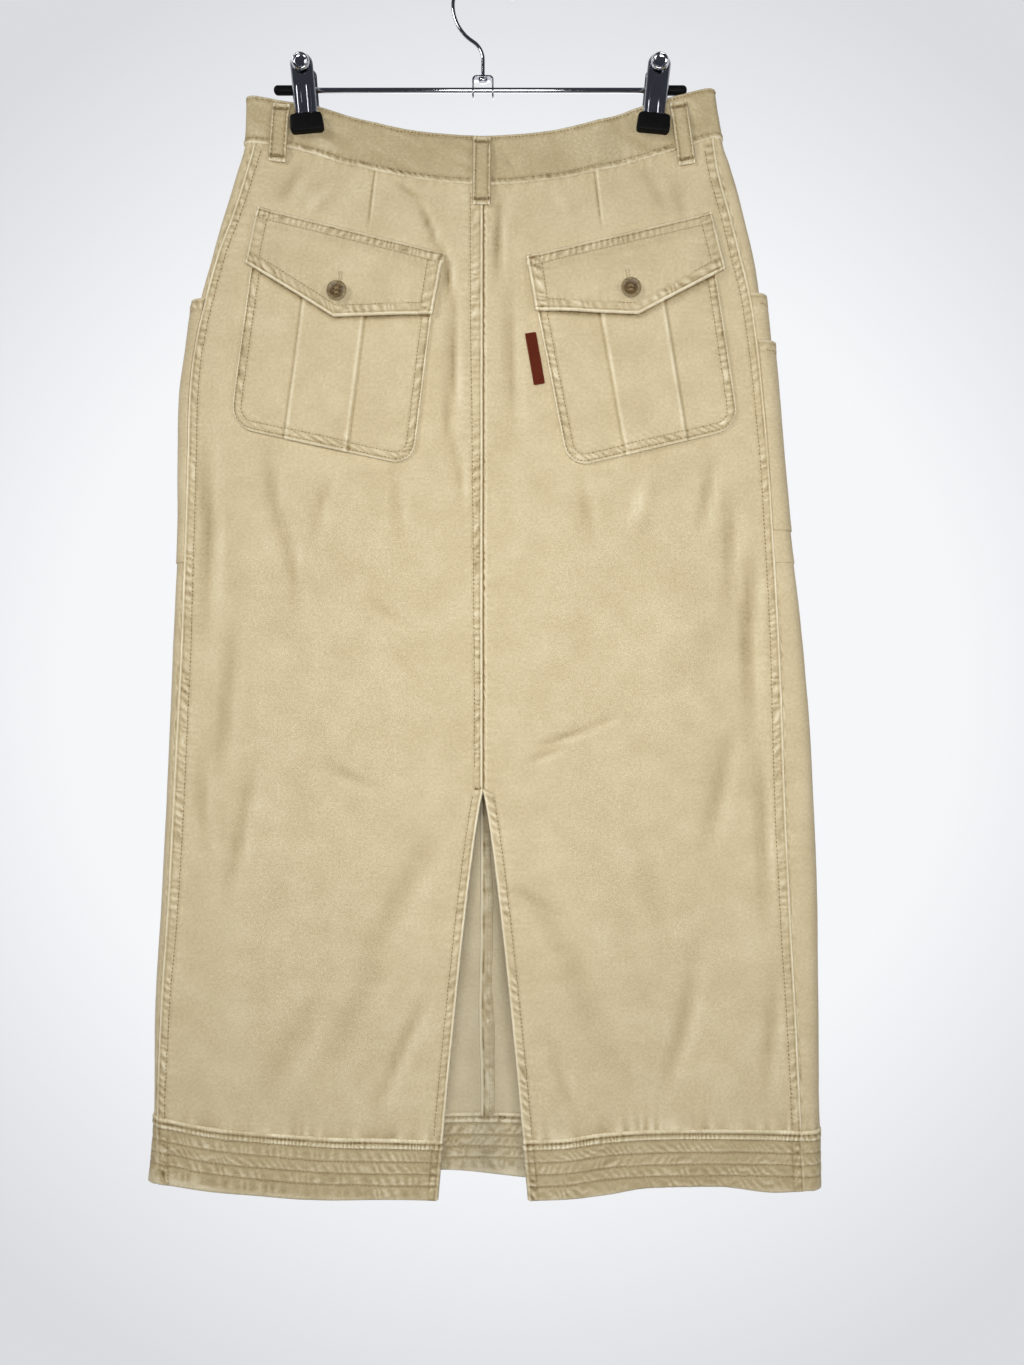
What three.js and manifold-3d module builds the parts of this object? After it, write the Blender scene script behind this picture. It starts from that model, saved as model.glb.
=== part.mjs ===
// A cotton-twill cargo skirt, midi length, hung flat by its waistband from a clip hanger.
//
// Millimetres, +Z up. -Y is the skirt's back and +Y its front, -X the wearer's left.
// The origin is the inside top of the hanger's hook, where a rail carries it.
//
// The cloth is one tube, flattened. clothPoint() gives any point of it from the distance walked
// round the tube, the height and the distance out from the cloth's middle. Every panel, band and
// pocket is a closed wall swept over that one form, so neighbours meet along a seam and what lies
// on a panel is the panel's own surface moved out.
import * as THREE from "three";
import Module from "manifold-3d";
import { mergeVertices } from "three/addons/utils/BufferGeometryUtils.js";

const wasm = await Module();
wasm.setup();

// ---------------------------------------------------------------- driving sizes

const CLOTH = 1.2; // one layer of twill
const BAND = 2.4; // waistband and hem bands are folded double
const SEAM_GAP = 0.4; // between pieces that meet edge to edge
const LIFT = 0.4; // between a panel and what lies on it
const VENT_TOP = -608;
const VENT_HALF = 33.6; // half the vent's opening at the hem
const VENT_DROP = 299;
const VENT_CURVE = 0.79; // under 1, the vent opens fastest near its top
const CENTRE = 0.5; // the vent sits this far towards +X
const FRONT_DIP = 12; // centre front waist below centre back waist
const WAIST_HALF = 172; // half the waist, laid flat
const LAP = 32; // overlap of the waistband at centre front

// The tube at each height. left, right: outermost x of the side folds. seamLeft, seamRight: x of
// the side seams, on the back face. back, front: how far the cloth bows out at mid width. fold:
// radius of the side folds.
const SECTIONS = [
  { z: -85, left: -176, right: 172.5, seamLeft: -170.5, seamRight: 168, back: 4.6, front: 4.2, fold: 3 },
  { z: -125, left: -177.5, right: 179, seamLeft: -170.7, seamRight: 172.3, back: 6, front: 5.4, fold: 3.6 },
  { z: -150, left: -184.5, right: 187, seamLeft: -177, seamRight: 176, back: 8, front: 7, fold: 4.2 },
  { z: -180, left: -193.5, right: 195, seamLeft: -186, seamRight: 184, back: 10.5, front: 9, fold: 5 },
  { z: -210, left: -202, right: 202, seamLeft: -197, seamRight: 191.5, back: 12.5, front: 10.5, fold: 5.5 },
  { z: -245, left: -211.5, right: 207.5, seamLeft: -206.5, seamRight: 199.7, back: 14, front: 12, fold: 6 },
  { z: -280, left: -217.5, right: 212.5, seamLeft: -214, seamRight: 204.5, back: 15, front: 13, fold: 6.5 },
  { z: -315, left: -222.5, right: 217.5, seamLeft: -217.8, seamRight: 208, back: 15.5, front: 14, fold: 7 },
  { z: -360, left: -225, right: 223, seamLeft: -219, seamRight: 212, back: 16, front: 15, fold: 7.5 },
  { z: -425, left: -228, right: 230.5, seamLeft: -221, seamRight: 216, back: 16.5, front: 15.5, fold: 8 },
  { z: -500, left: -231.5, right: 239, seamLeft: -223.5, seamRight: 220, back: 17, front: 16.5, fold: 8.5 },
  { z: -560, left: -234, right: 244, seamLeft: -226.5, seamRight: 222.3, back: 17.3, front: 17, fold: 8.8 },
  { z: -620, left: -236.5, right: 247, seamLeft: -229.5, seamRight: 224.3, back: 17.6, front: 17.5, fold: 9 },
  { z: -690, left: -240, right: 249.8, seamLeft: -233, seamRight: 227.4, back: 18, front: 18, fold: 9.3 },
  { z: -767, left: -244.5, right: 250.6, seamLeft: -238, seamRight: 231.5, back: 18, front: 18.5, fold: 9.5 },
  { z: -842, left: -245.5, right: 251.3, seamLeft: -241, seamRight: 235.2, back: 18, front: 19, fold: 9.5 },
  { z: -870, left: -246.5, right: 251.8, seamLeft: -241, seamRight: 236.8, back: 18, front: 19, fold: 9.3 },
  { z: -910, left: -250.5, right: 252.2, seamLeft: -240.6, seamRight: 239, back: 18, front: 19, fold: 9 },
];

// Heights of the waistband's two edges along the back.
const WAIST = [
  { x: -176, top: -91.2, seam: -126 },
  { x: -150, top: -95, seam: -128.3 },
  { x: -122, top: -99.5, seam: -135 },
  { x: -88, top: -111, seam: -145.7 },
  { x: -46, top: -119.8, seam: -155 },
  { x: 0, top: -123.1, seam: -159.8 },
  { x: 46, top: -120, seam: -156.3 },
  { x: 88, top: -110.4, seam: -146.7 },
  { x: 120, top: -99.4, seam: -137.2 },
  { x: 150, top: -90.6, seam: -128.6 },
  { x: 176, top: -85.2, seam: -121.7 },
];

// Heights of the hem band's two edges.
const HEM = [
  { x: -250, seam: -851, bottom: -899.5 },
  { x: -192, seam: -860, bottom: -906 },
  { x: -110, seam: -864.5, bottom: -909.5 },
  { x: -33, seam: -864.5, bottom: -908 },
  { x: 33, seam: -864.5, bottom: -908 },
  { x: 70, seam: -861, bottom: -905 },
  { x: 105, seam: -859.5, bottom: -901 },
  { x: 170, seam: -860, bottom: -901.5 },
  { x: 215, seam: -861, bottom: -906.5 },
  { x: 250, seam: -862, bottom: -905 },
];

// The largest folds of the hanging cloth. face: -1 back, 1 front. x, z: middle. length: along the
// fold. width: across it. depth: out of the face, below 0 for a trough. lean: degrees the fold's
// foot swings towards +X.
const FOLDS = [
  { face: -1, x: -196, z: -450, length: 300, width: 34, depth: -2.6, lean: -2 },
  { face: -1, x: -172, z: -640, length: 300, width: 40, depth: -2.4, lean: -9 },
  { face: -1, x: 190, z: -560, length: 420, width: 40, depth: -3, lean: 1 },
  { face: -1, x: 160, z: -760, length: 260, width: 46, depth: -2.2, lean: -14 },
  { face: -1, x: -96, z: -520, length: 260, width: 46, depth: -2, lean: 10 },
  { face: -1, x: -70, z: -760, length: 260, width: 60, depth: 2.8, lean: -22 },
  { face: -1, x: 84, z: -770, length: 240, width: 56, depth: 2.6, lean: 24 },
  { face: -1, x: 92, z: -480, length: 220, width: 44, depth: -1.8, lean: -8 },
  { face: 1, x: -178, z: -620, length: 380, width: 44, depth: -2.8, lean: -4 },
  { face: 1, x: 182, z: -600, length: 400, width: 40, depth: -2.6, lean: 5 },
  { face: 1, x: -58, z: -700, length: 340, width: 60, depth: 2.4, lean: -8 },
  { face: 1, x: 74, z: -740, length: 300, width: 54, depth: 2.6, lean: 9 },
];

// Back pocket bags and flaps, by corner: x and z. pleat0, pleat1: the box pleat's edges as shares
// of the width. tip: the flap's point.
const BACK_POCKETS = [
  {
    name: "left",
    bag: { tl: [-167.8, -190], tr: [-33.5, -226.5], br: [-51, -370], bl: [-187.2, -339] },
    pleat0: 0.3,
    pleat1: 0.642,
    flap: { tl: [-166.8, -176.1], tr: [-28.8, -213.2], br: [-37, -258.4], bl: [-175.2, -217.8] },
    tip: [-109.4, -259.4],
    button: [-106.6, -241.6],
  },
  {
    name: "right",
    bag: { tl: [35.4, -230], tr: [168.5, -195.5], br: [190, -340.3], bl: [63, -371.5] },
    pleat0: 0.335,
    pleat1: 0.693,
    flap: { tl: [32.7, -215.7], tr: [169.2, -180.4], br: [179.4, -222], bl: [39.5, -255.6] },
    tip: [114.2, -257.6],
    button: [108.7, -239.5],
  },
];
const BAG_CORNER = 17; // radius of a bag's two lower corners
const PLEAT = 1.3; // the pleat stands this far above the bag
const FLAP = 1.9; // a flap is two layers
const FLAP_STRIP = 12; // the flap is sewn down along this much of its top

// Front patch pockets, sewn in at the side seam. top, bottom: heights. reach: distance from the
// side fold to the inner edge. gape: how far the mouth stands off at the fold. closes: the share
// of the height over which it comes back to the panel. on: the row of the pocket it lies on.
const FRONT_POCKETS = [
  { name: "left", side: -1, top: -244, bottom: -440, reach: 150, gape: 6.4, closes: 1.1 },
  { name: "right", side: 1, top: -240.5, bottom: -440, reach: 150, gape: 5, closes: 0.5 },
  { name: "small_right", side: 1, top: -276, bottom: -416, reach: 100, gape: 1, closes: 0.6, on: 1 },
];

// Belt loops: the middles of the two ends, and the face they stand on.
const LOOPS = [
  { name: "belt_loop_back_left", face: -1, top: [-150.2, -98], bottom: [-153.6, -140.3] },
  { name: "belt_loop_back_centre", face: -1, top: [-0.5, -124.9], bottom: [-0.7, -175.8] },
  { name: "belt_loop_back_right", face: -1, top: [145.8, -96.4], bottom: [152.4, -142.6] },
  { name: "belt_loop_front_left", face: 1, top: [-82, -122.6], bottom: [-84.5, -168] },
  { name: "belt_loop_front_right", face: 1, top: [82, -121.6], bottom: [84.5, -168] },
];
const LOOP_WIDTH = 12;
const LOOP_CLOTH = 1.6;
const LOOP_STAND = 1.6; // a belt's room behind a loop

const BUTTON_RADIUS = 7.5;
const BUTTON_HEIGHT = 3;
const TAB = { x: 38.6, z: -290.8, width: 7.6, height: 38, lean: 10, thick: 0.9 };

const ROD_Z = -85;
const ROD_RADIUS = 2;
const ROD_ENDS = [-157, 153];
const WIRE_RADIUS = 1.5;
const HOOK_RADIUS = 22.5; // to the middle of the wire
// Clips: x of the pad's middle, and degrees the clip's head leans towards +X.
const CLIPS = [
  { name: "left", x: -130.8, lean: -5 },
  { name: "right", x: 127, lean: 5.5 },
];
const PAD = { width: 24, height: 12.8, thick: 6, z: -113.2, face: 3.4 };

// ---------------------------------------------------------------- the cloth's form

const lerp = (a, b, t) => a + (b - a) * t;
const radians = (degrees) => (degrees * Math.PI) / 180;

// A table's column as a smooth curve through its rows.
function curve(rows, axis, column, at) {
  const sign = Math.sign(rows[rows.length - 1][axis] - rows[0][axis]);
  const place = sign * at;
  const key = (i) => sign * rows[i][axis];
  const last = rows.length - 1;
  if (place <= key(0)) return rows[0][column];
  if (place >= key(last)) return rows[last][column];
  let i = 0;
  while (key(i + 1) < place) i += 1;
  const slope = (k) => {
    const before = Math.max(k - 1, 0);
    const after = Math.min(k + 1, last);
    return (rows[after][column] - rows[before][column]) / (key(after) - key(before));
  };
  const step = key(i + 1) - key(i);
  const t = (place - key(i)) / step;
  const rise = t * t * (3 - 2 * t);
  const leave = t * (1 - t) * (1 - t) * step;
  const arrive = t * t * (t - 1) * step;
  return lerp(rows[i][column], rows[i + 1][column], rise) + leave * slope(i) + arrive * slope(i + 1);
}

// 1 at the middle, 0 from one half-width away.
const hump = (t) => (Math.abs(t) >= 1 ? 0 : Math.cos((Math.PI / 2) * t) ** 2);

// 1 within reach of the middle, easing to 0 over the falloff past it.
const plateau = (distance, reach, falloff) => hump(Math.max(Math.abs(distance) - reach, 0) / falloff);

function foldRise(face, x, z) {
  let rise = 0;
  for (const fold of FOLDS) {
    if (fold.face !== face) continue;
    const lean = radians(fold.lean);
    const dx = x - fold.x;
    const dz = z - fold.z;
    const across = dx * Math.cos(lean) + dz * Math.sin(lean);
    const along = dx * Math.sin(lean) - dz * Math.cos(lean);
    rise += fold.depth * hump(across / fold.width) * hump(along / (fold.length / 2));
  }
  return rise;
}

// How far the clips squeeze the two faces together, 1 under their pads.
function squeeze(x, z) {
  let most = 0;
  for (const clip of CLIPS) {
    const near = plateau(x - clip.x, 21, 22) * plateau(z - PAD.z, 18, 60);
    most = Math.max(most, near);
  }
  return most;
}

function ring(side, z) {
  const fold = curve(SECTIONS, "z", "fold", z);
  const outer = side * curve(SECTIONS, "z", side < 0 ? "left" : "right", z);
  return { fold, flat: outer - fold };
}

const PINCHED = 1.6; // from the mid plane to the middle of a squeezed layer

// The height of a face above the mid plane.
function faceDepth(face, x, z) {
  const { fold, flat } = ring(x < 0 ? -1 : 1, z);
  const bow = curve(SECTIONS, "z", face < 0 ? "back" : "front", z);
  const share = Math.min(Math.abs(x) / flat, 1);
  const free = fold + (bow - fold) * Math.cos((Math.PI / 2) * share) ** 2;
  const inner = 1 - share ** 8;
  return lerp(free + foldRise(face, x, z) * inner, PINCHED, squeeze(x, z) * inner);
}

// A point on the back (face -1) or front (face 1), out from the middle of the cloth.
function facePoint(face, x, z, out) {
  const e = 0.5;
  const slopeX = (faceDepth(face, x + e, z) - faceDepth(face, x - e, z)) / (2 * e);
  const slopeZ = (faceDepth(face, x, z + e) - faceDepth(face, x, z - e)) / (2 * e);
  const size = Math.hypot(slopeX, 1, slopeZ);
  const depth = faceDepth(face, x, z);
  const push = out / size;
  return [x - slopeX * push, face * (depth + push), z - slopeZ * push];
}

// A point of the tube: walk is the distance round it from centre back.
function clothPoint(side, walk, z, out) {
  const { fold, flat } = ring(side, z);
  const arc = Math.PI * fold;
  if (walk <= flat) return facePoint(-1, side * walk, z, out);
  if (walk >= flat + arc) return facePoint(1, side * (2 * flat + arc - walk), z, out);
  const turn = (walk - flat) / fold;
  const reach = fold + out;
  return [side * (flat + reach * Math.sin(turn)), -reach * Math.cos(turn), z];
}

// Walks to the named lines of the tube. A station runs 0 centre back, 1 side seam, 2 the end of
// the side fold, 3 centre front.
const ventHalf = (z) => (z > VENT_TOP ? 0 : VENT_HALF * ((VENT_TOP - z) / VENT_DROP) ** VENT_CURVE);
const backStart = (side, z) => (z > VENT_TOP ? 0 : Math.max(ventHalf(z) + side * CENTRE, 0));

function seamWalk(side, z) {
  const { fold, flat } = ring(side, z);
  const x = side * curve(SECTIONS, "z", side < 0 ? "seamLeft" : "seamRight", z);
  return x <= flat ? x : flat + fold * Math.asin(Math.min((x - flat) / fold, 1));
}

function walkTo(side, station, z) {
  const { fold, flat } = ring(side, z);
  const foldEnd = flat + Math.PI * fold;
  if (station <= 1) return lerp(backStart(side, z), seamWalk(side, z), station);
  if (station <= 2) return lerp(seamWalk(side, z), foldEnd, station - 1);
  return lerp(foldEnd, foldEnd + flat, station - 2);
}

// The x at which a station reads the waist and hem tables.
function stationX(side, station, half) {
  if (station <= 1) return side * half * station;
  if (station <= 2) return side * half;
  return side * half * (3 - station);
}

const frontShare = (station) => (station <= 2 ? 0 : 1 - Math.cos((Math.PI / 2) * (station - 2)) ** 2);
const waistZ = (column) => (side, station) =>
  curve(WAIST, "x", column, stationX(side, station, WAIST_HALF)) - FRONT_DIP * frontShare(station);
const waistTop = waistZ("top");
const waistSeam = waistZ("seam");
const hemZ = (column) => (side, station) => curve(HEM, "x", column, stationX(side, station, 246));
const hemSeam = hemZ("seam");
const hemBottom = hemZ("bottom");

// ---------------------------------------------------------------- closed walls

function geometryOf(points, triangles) {
  let volume = 0;
  for (const [a, b, c] of triangles) {
    const [p, q, r] = [points[a], points[b], points[c]].map((v) => new THREE.Vector3(...v));
    volume += p.dot(q.cross(r));
  }
  const outward = volume < 0 ? triangles.map(([a, b, c]) => [a, c, b]) : triangles;
  const geometry = new THREE.BufferGeometry();
  geometry.setAttribute("position", new THREE.Float32BufferAttribute(points.flat(), 3));
  geometry.setIndex(outward.flat());
  return geometry;
}

// A closed wall over columns by rows cells. pointAt(column, row, layer) gives the inner (layer 0)
// and outer (layer 1) points.
function wall(columns, rows, pointAt) {
  const points = [];
  const index = (i, j, layer) => (layer * (rows + 1) + j) * (columns + 1) + i;
  for (let layer = 0; layer < 2; layer += 1) {
    for (let j = 0; j <= rows; j += 1) {
      for (let i = 0; i <= columns; i += 1) points.push(pointAt(i, j, layer));
    }
  }
  const triangles = [];
  const quad = (a, b, c, d) => triangles.push([a, b, c], [a, c, d]);
  for (let i = 0; i < columns; i += 1) {
    for (let j = 0; j < rows; j += 1) {
      quad(index(i, j, 1), index(i + 1, j, 1), index(i + 1, j + 1, 1), index(i, j + 1, 1));
      quad(index(i, j, 0), index(i, j + 1, 0), index(i + 1, j + 1, 0), index(i + 1, j, 0));
    }
    quad(index(i, 0, 0), index(i + 1, 0, 0), index(i + 1, 0, 1), index(i, 0, 1));
    quad(index(i, rows, 1), index(i + 1, rows, 1), index(i + 1, rows, 0), index(i, rows, 0));
  }
  for (let j = 0; j < rows; j += 1) {
    quad(index(0, j, 1), index(0, j + 1, 1), index(0, j + 1, 0), index(0, j, 0));
    quad(index(columns, j, 0), index(columns, j + 1, 0), index(columns, j + 1, 1), index(columns, j, 1));
  }
  return geometryOf(points, triangles);
}

const steps = (from, to, count) => Array.from({ length: count + 1 }, (_, i) => lerp(from, to, i / count));
const BACK_STATIONS = steps(0, 1, 11);
const FOLD_STATIONS = steps(1, 2, 6);
const FRONT_STATIONS = [...FOLD_STATIONS, ...steps(2, 3, 9).slice(1)];
// closer near the clips, which pinch the cloth, and near the vent's top at 0.636
const ABOVE_VENT = [0, 0.03, 0.07, 0.12, 0.18, 0.25, 0.32, 0.4, 0.48, 0.56, 0.636];
const PANEL_ROWS = [...ABOVE_VENT, 0.655, 0.69, 0.75, 0.83, 0.92, 1];

const group = new THREE.Group();

function add(name, geometry, color, roughness = 0.9, metalness = 0) {
  const material = new THREE.MeshStandardMaterial({ color, roughness, metalness });
  const mesh = new THREE.Mesh(geometry, material);
  mesh.name = name;
  group.add(mesh);
  return mesh;
}

const TWILL = 0xc6b791;
const TWILL_DARK = 0xb5a583;

// A stretch of the tube between two stations and two heights. side, station: lists of the same
// length, one entry a column. trims: distances kept clear at the first and last column.
function tubeWall({ columns, rows, top, bottom, thick, trims = [0, 0], out = () => 0 }) {
  const last = columns.length - 1;
  return wall(last, rows.length - 1, (i, j, layer) => {
    const { side, station } = columns[i];
    const z = lerp(top(side, station), bottom(side, station), rows[j]);
    const trim = i === 0 ? trims[0] : i === last ? trims[1] : 0;
    const offset = out(i, j) + (layer - 0.5) * thick;
    return clothPoint(side, walkTo(side, station, z) + trim, z, offset);
  });
}

const onSide = (side, stations) => stations.map((station) => ({ side, station }));
const lowered = (height, by) => (side, station) => height(side, station) - by;
const HALF_GAP = SEAM_GAP / 2;

function addPanels() {
  for (const [side, name] of [[-1, "left"], [1, "right"]]) {
    const common = {
      rows: PANEL_ROWS,
      top: lowered(waistSeam, HALF_GAP),
      bottom: lowered(hemSeam, -HALF_GAP),
      thick: CLOTH,
      trims: [HALF_GAP, -HALF_GAP],
    };
    add("back_panel_" + name, tubeWall({ ...common, columns: onSide(side, BACK_STATIONS) }), TWILL);
    add("front_panel_" + name, tubeWall({ ...common, columns: onSide(side, FRONT_STATIONS) }), TWILL);
  }
}

function addHemBands() {
  const common = { rows: [0, 0.5, 1], top: lowered(hemSeam, HALF_GAP), bottom: hemBottom, thick: BAND };
  const trims = [HALF_GAP, -HALF_GAP];
  for (const [side, name] of [[-1, "left"], [1, "right"]]) {
    const columns = onSide(side, BACK_STATIONS);
    add("hem_band_back_" + name, tubeWall({ ...common, columns, trims }), TWILL_DARK);
  }
  const columns = [...onSide(-1, FRONT_STATIONS), ...onSide(1, FRONT_STATIONS).reverse().slice(1)];
  const ends = [HALF_GAP, HALF_GAP];
  add("hem_band_front", tubeWall({ ...common, columns, trims: ends }), TWILL_DARK);
}

// The band starts at centre front, runs round the wearer's left side, the back and the right side,
// and ends in a lap over its own start.
function addWaistband() {
  const round = [...BACK_STATIONS, ...FRONT_STATIONS.slice(1)];
  const lap = steps(0, LAP / WAIST_HALF, 3).slice(1).map((past) => ({ side: -1, station: 3 - past }));
  const columns = [...onSide(-1, round).reverse(), ...onSide(1, round).slice(1), ...lap];
  const centreFront = columns.length - 1 - lap.length;
  const climb = { [centreFront - 1]: 0.35 };
  const out = (i) => (BAND + LIFT) * (i >= centreFront ? 1 : climb[i] ?? 0);
  const startSetBack = 3;
  const geometry = tubeWall({
    columns,
    rows: [0, 0.33, 0.67, 1],
    top: waistTop,
    bottom: lowered(waistSeam, -HALF_GAP),
    thick: BAND,
    trims: [-startSetBack, 0],
    out,
  });
  add("waistband", geometry, TWILL_DARK);
}

// ---------------------------------------------------------------- patches on a face

const bilinear = (quad, s, t) => [0, 1].map((k) =>
  lerp(lerp(quad.tl[k], quad.tr[k], s), lerp(quad.bl[k], quad.br[k], s), t));

// How far a rounded lower corner cuts into a column, as a length.
function cornerCut(s, width, radius) {
  const edge = Math.min(s, 1 - s) * width;
  if (edge >= radius) return 0;
  return radius - Math.sqrt(radius ** 2 - (radius - edge) ** 2);
}

// A patch over face -1 or 1. shape(s, t) gives [x, z], out(s, t, layer) the distance out.
function patch(face, columnShares, rowShares, shape, out) {
  return wall(columnShares.length - 1, rowShares.length - 1, (i, j, layer) => {
    const s = columnShares[i];
    const t = rowShares[j];
    const [x, z] = shape(s, t);
    return facePoint(face, x, z, out(s, t, layer));
  });
}

const ON_PANEL = CLOTH / 2 + LIFT;

function addBackPocket({ name, bag, pleat0, pleat1, flap, tip, button }) {
  const width = Math.hypot(bag.br[0] - bag.bl[0], bag.br[1] - bag.bl[1]);
  const height = Math.hypot(bag.bl[0] - bag.tl[0], bag.bl[1] - bag.tl[1]);
  const round = BAG_CORNER / width;
  const corner = [0, 0.08, 0.3, 0.6, 1].map((share) => share * round);
  const pleatStep = 0.02;
  const columns = [
    ...corner,
    pleat0 - pleatStep,
    pleat0,
    ...steps(pleat0, pleat1, 4).slice(1),
    pleat1 + pleatStep,
    ...corner.map((share) => 1 - share).reverse(),
  ];
  const shape = (s, t) => bilinear(bag, s, t * (1 - cornerCut(s, width, BAG_CORNER) / height));
  const onPleat = (s) => s > pleat0 - pleatStep / 2 && s < pleat1 + pleatStep / 2;
  const out = (s, t, layer) => ON_PANEL + layer * (CLOTH + (onPleat(s) ? PLEAT : 0));
  add("back_pocket_" + name, patch(-1, columns, steps(0, 1, 7), shape, out), TWILL);

  const tipShare = (tip[0] - flap.bl[0]) / (flap.br[0] - flap.bl[0]);
  const lower = (s) => (s < tipShare
    ? [0, 1].map((k) => lerp(flap.bl[k], tip[k], s / tipShare))
    : [0, 1].map((k) => lerp(tip[k], flap.br[k], (s - tipShare) / (1 - tipShare))));
  // t runs 0 to 1 down the sewn strip, then 1 to 2 down to the edge
  const flapShape = (s, t) => {
    const upper = [0, 1].map((k) => lerp(flap.tl[k], flap.tr[k], s));
    const foot = lower(s);
    const strip = FLAP_STRIP / Math.hypot(foot[0] - upper[0], foot[1] - upper[1]);
    const share = t < 1 ? t * strip : lerp(strip, 1, t - 1);
    return [0, 1].map((k) => lerp(upper[k], foot[k], share));
  };
  const overBag = ON_PANEL + CLOTH + PLEAT + LIFT;
  const rows = [0, 0.5, 1, 1.3, 1.65, 2];
  const flapOut = (s, t, layer) => ON_PANEL + (overBag - ON_PANEL) * Math.min(t, 1) + layer * FLAP;
  const flapColumns = [...steps(0, tipShare, 6), ...steps(tipShare, 1, 6).slice(1)];
  add("flap_" + name, patch(-1, flapColumns, rows, flapShape, flapOut), TWILL_DARK);
  addButton("flap_button_" + name, -1, button, overBag + FLAP + LIFT);
}

function solidOf(geometry) {
  const bare = geometry.clone();
  bare.deleteAttribute("normal");
  bare.deleteAttribute("uv");
  const merged = mergeVertices(bare, 1e-4);
  const vertProperties = new Float32Array(merged.attributes.position.array);
  const triVerts = new Uint32Array(merged.index.array);
  return new wasm.Manifold(new wasm.Mesh({ numProp: 3, vertProperties, triVerts }));
}

function geometryFrom(solid) {
  const mesh = solid.getMesh();
  const geometry = new THREE.BufferGeometry();
  geometry.setAttribute("position", new THREE.BufferAttribute(mesh.vertProperties, 3));
  geometry.setIndex(new THREE.BufferAttribute(mesh.triVerts, 1));
  return geometry;
}

// A dished disc with a rim and four thread holes, its axis along Y.
function buttonGeometry() {
  const r = BUTTON_RADIUS;
  const h = BUTTON_HEIGHT;
  const dish = h * 0.6;
  const edge = [[r - 1.2, 0], [r, h * 0.45], [r - 0.5, h], [r - 1.6, h], [r - 2.6, dish]];
  const profile = [[0, 0], ...edge, [0, dish]];
  const disc = new THREE.LatheGeometry(profile.map(([x, y]) => new THREE.Vector2(x, y)), 20);
  let solid = solidOf(disc);
  for (const [sx, sy] of [[1, 1], [1, -1], [-1, 1], [-1, -1]]) {
    const hole = new THREE.CylinderGeometry(0.85, 0.85, 3 * h, 8);
    hole.translate(1.55 * sx, 0, 1.55 * sy);
    solid = solid.subtract(solidOf(hole));
  }
  return geometryFrom(solid);
}

function addButton(name, face, [x, z], out) {
  const mesh = add(name, buttonGeometry(), 0x9c8c66, 0.5);
  const foot = new THREE.Vector3(...facePoint(face, x, z, out));
  const head = new THREE.Vector3(...facePoint(face, x, z, out + 1));
  mesh.position.copy(foot);
  mesh.quaternion.setFromUnitVectors(new THREE.Vector3(0, 1, 0), head.sub(foot).normalize());
}

function addTab() {
  const [cos, sin] = [Math.cos(radians(TAB.lean)), Math.sin(radians(TAB.lean))];
  const shape = (s, t) => {
    const dx = (s - 0.5) * TAB.width;
    const dz = (0.5 - t) * TAB.height;
    return [TAB.x + dx * cos - dz * sin, TAB.z + dx * sin + dz * cos];
  };
  const out = (s, t, layer) => ON_PANEL + layer * TAB.thick;
  add("label", patch(-1, steps(0, 1, 2), steps(0, 1, 4), shape, out), 0x6e2d14);
}

function addBeltLoop({ name, face, top, bottom }) {
  const length = Math.hypot(bottom[0] - top[0], bottom[1] - top[1]);
  const across = [(top[1] - bottom[1]) / length, (bottom[0] - top[0]) / length];
  const shape = (s, t) => [0, 1].map((k) => lerp(top[k], bottom[k], t) + across[k] * (s - 0.5) * LOOP_WIDTH);
  const foot = BAND / 2 + LIFT;
  const rise = (t) => LOOP_STAND * plateau(t - 0.5, 0.25, 0.2);
  const out = (s, t, layer) => foot + rise(t) + layer * LOOP_CLOTH;
  add(name, patch(face, steps(0, 1, 2), steps(0, 1, 10), shape, out), TWILL_DARK);
}

// ---------------------------------------------------------------- front pieces

// How far a front pocket stands off what it lies on, most at the side fold and at its mouth.
function pocketStand({ side, top, bottom, reach, gape, closes }, walk, z) {
  const seam = walkTo(side, 1, z);
  const foldEnd = walkTo(side, 2, z);
  const crest = (seam + foldEnd) / 2;
  const across = walk < crest ? (crest - walk) / (crest - seam) : (walk - crest) / (foldEnd - crest + reach);
  const down = Math.max(top - z, 0) / (top - bottom);
  return gape * hump(across) * hump(down / closes);
}

// A patch from the side seam round the fold and across the front. It is sewn flat at its seam,
// inner and lower edges, and its mouth stands off.
function addFrontPocket(pocket) {
  const { name, side, top, bottom, reach, on } = pocket;
  const rows = steps(0, 1, 8);
  const front = steps(0, 1, 7).slice(1);
  const columns = FOLD_STATIONS.length + front.length - 1;
  const geometry = wall(columns, rows.length - 1, (i, j, layer) => {
    const share = i < FOLD_STATIONS.length ? 0 : front[i - FOLD_STATIONS.length];
    const corner = share > 0.5 ? cornerCut(share, reach, 26) * rows[j] : 0;
    const z = lerp(top, bottom, rows[j]) + corner;
    const walk = walkTo(side, share > 0 ? 2 : FOLD_STATIONS[i], z) + share * reach + (i === 0 ? HALF_GAP : 0);
    const under = on === undefined ? 0 : pocketStand(FRONT_POCKETS[on], walk, z) + CLOTH + 2 * LIFT;
    return clothPoint(side, walk, z, ON_PANEL + under + pocketStand(pocket, walk, z) + layer * CLOTH);
  });
  add("front_pocket_" + name, geometry, TWILL);
}

const FLY = { width: 38, top: -174.5, bottom: -330 };

function addFly() {
  const shape = (s, t) => {
    const cut = s > 0.45 ? 30 * ((s - 0.45) / 0.55) ** 2 : 0;
    return [1 + s * FLY.width, lerp(FLY.top, FLY.bottom + cut, t)];
  };
  const out = (s, t, layer) => ON_PANEL + layer * CLOTH;
  add("fly_lap", patch(1, steps(0, 1, 5), steps(0, 1, 6), shape, out), TWILL);
}

// ---------------------------------------------------------------- hanger

const STEEL = 0xc9ccd2;
const RUBBER = 0x141414;

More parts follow.
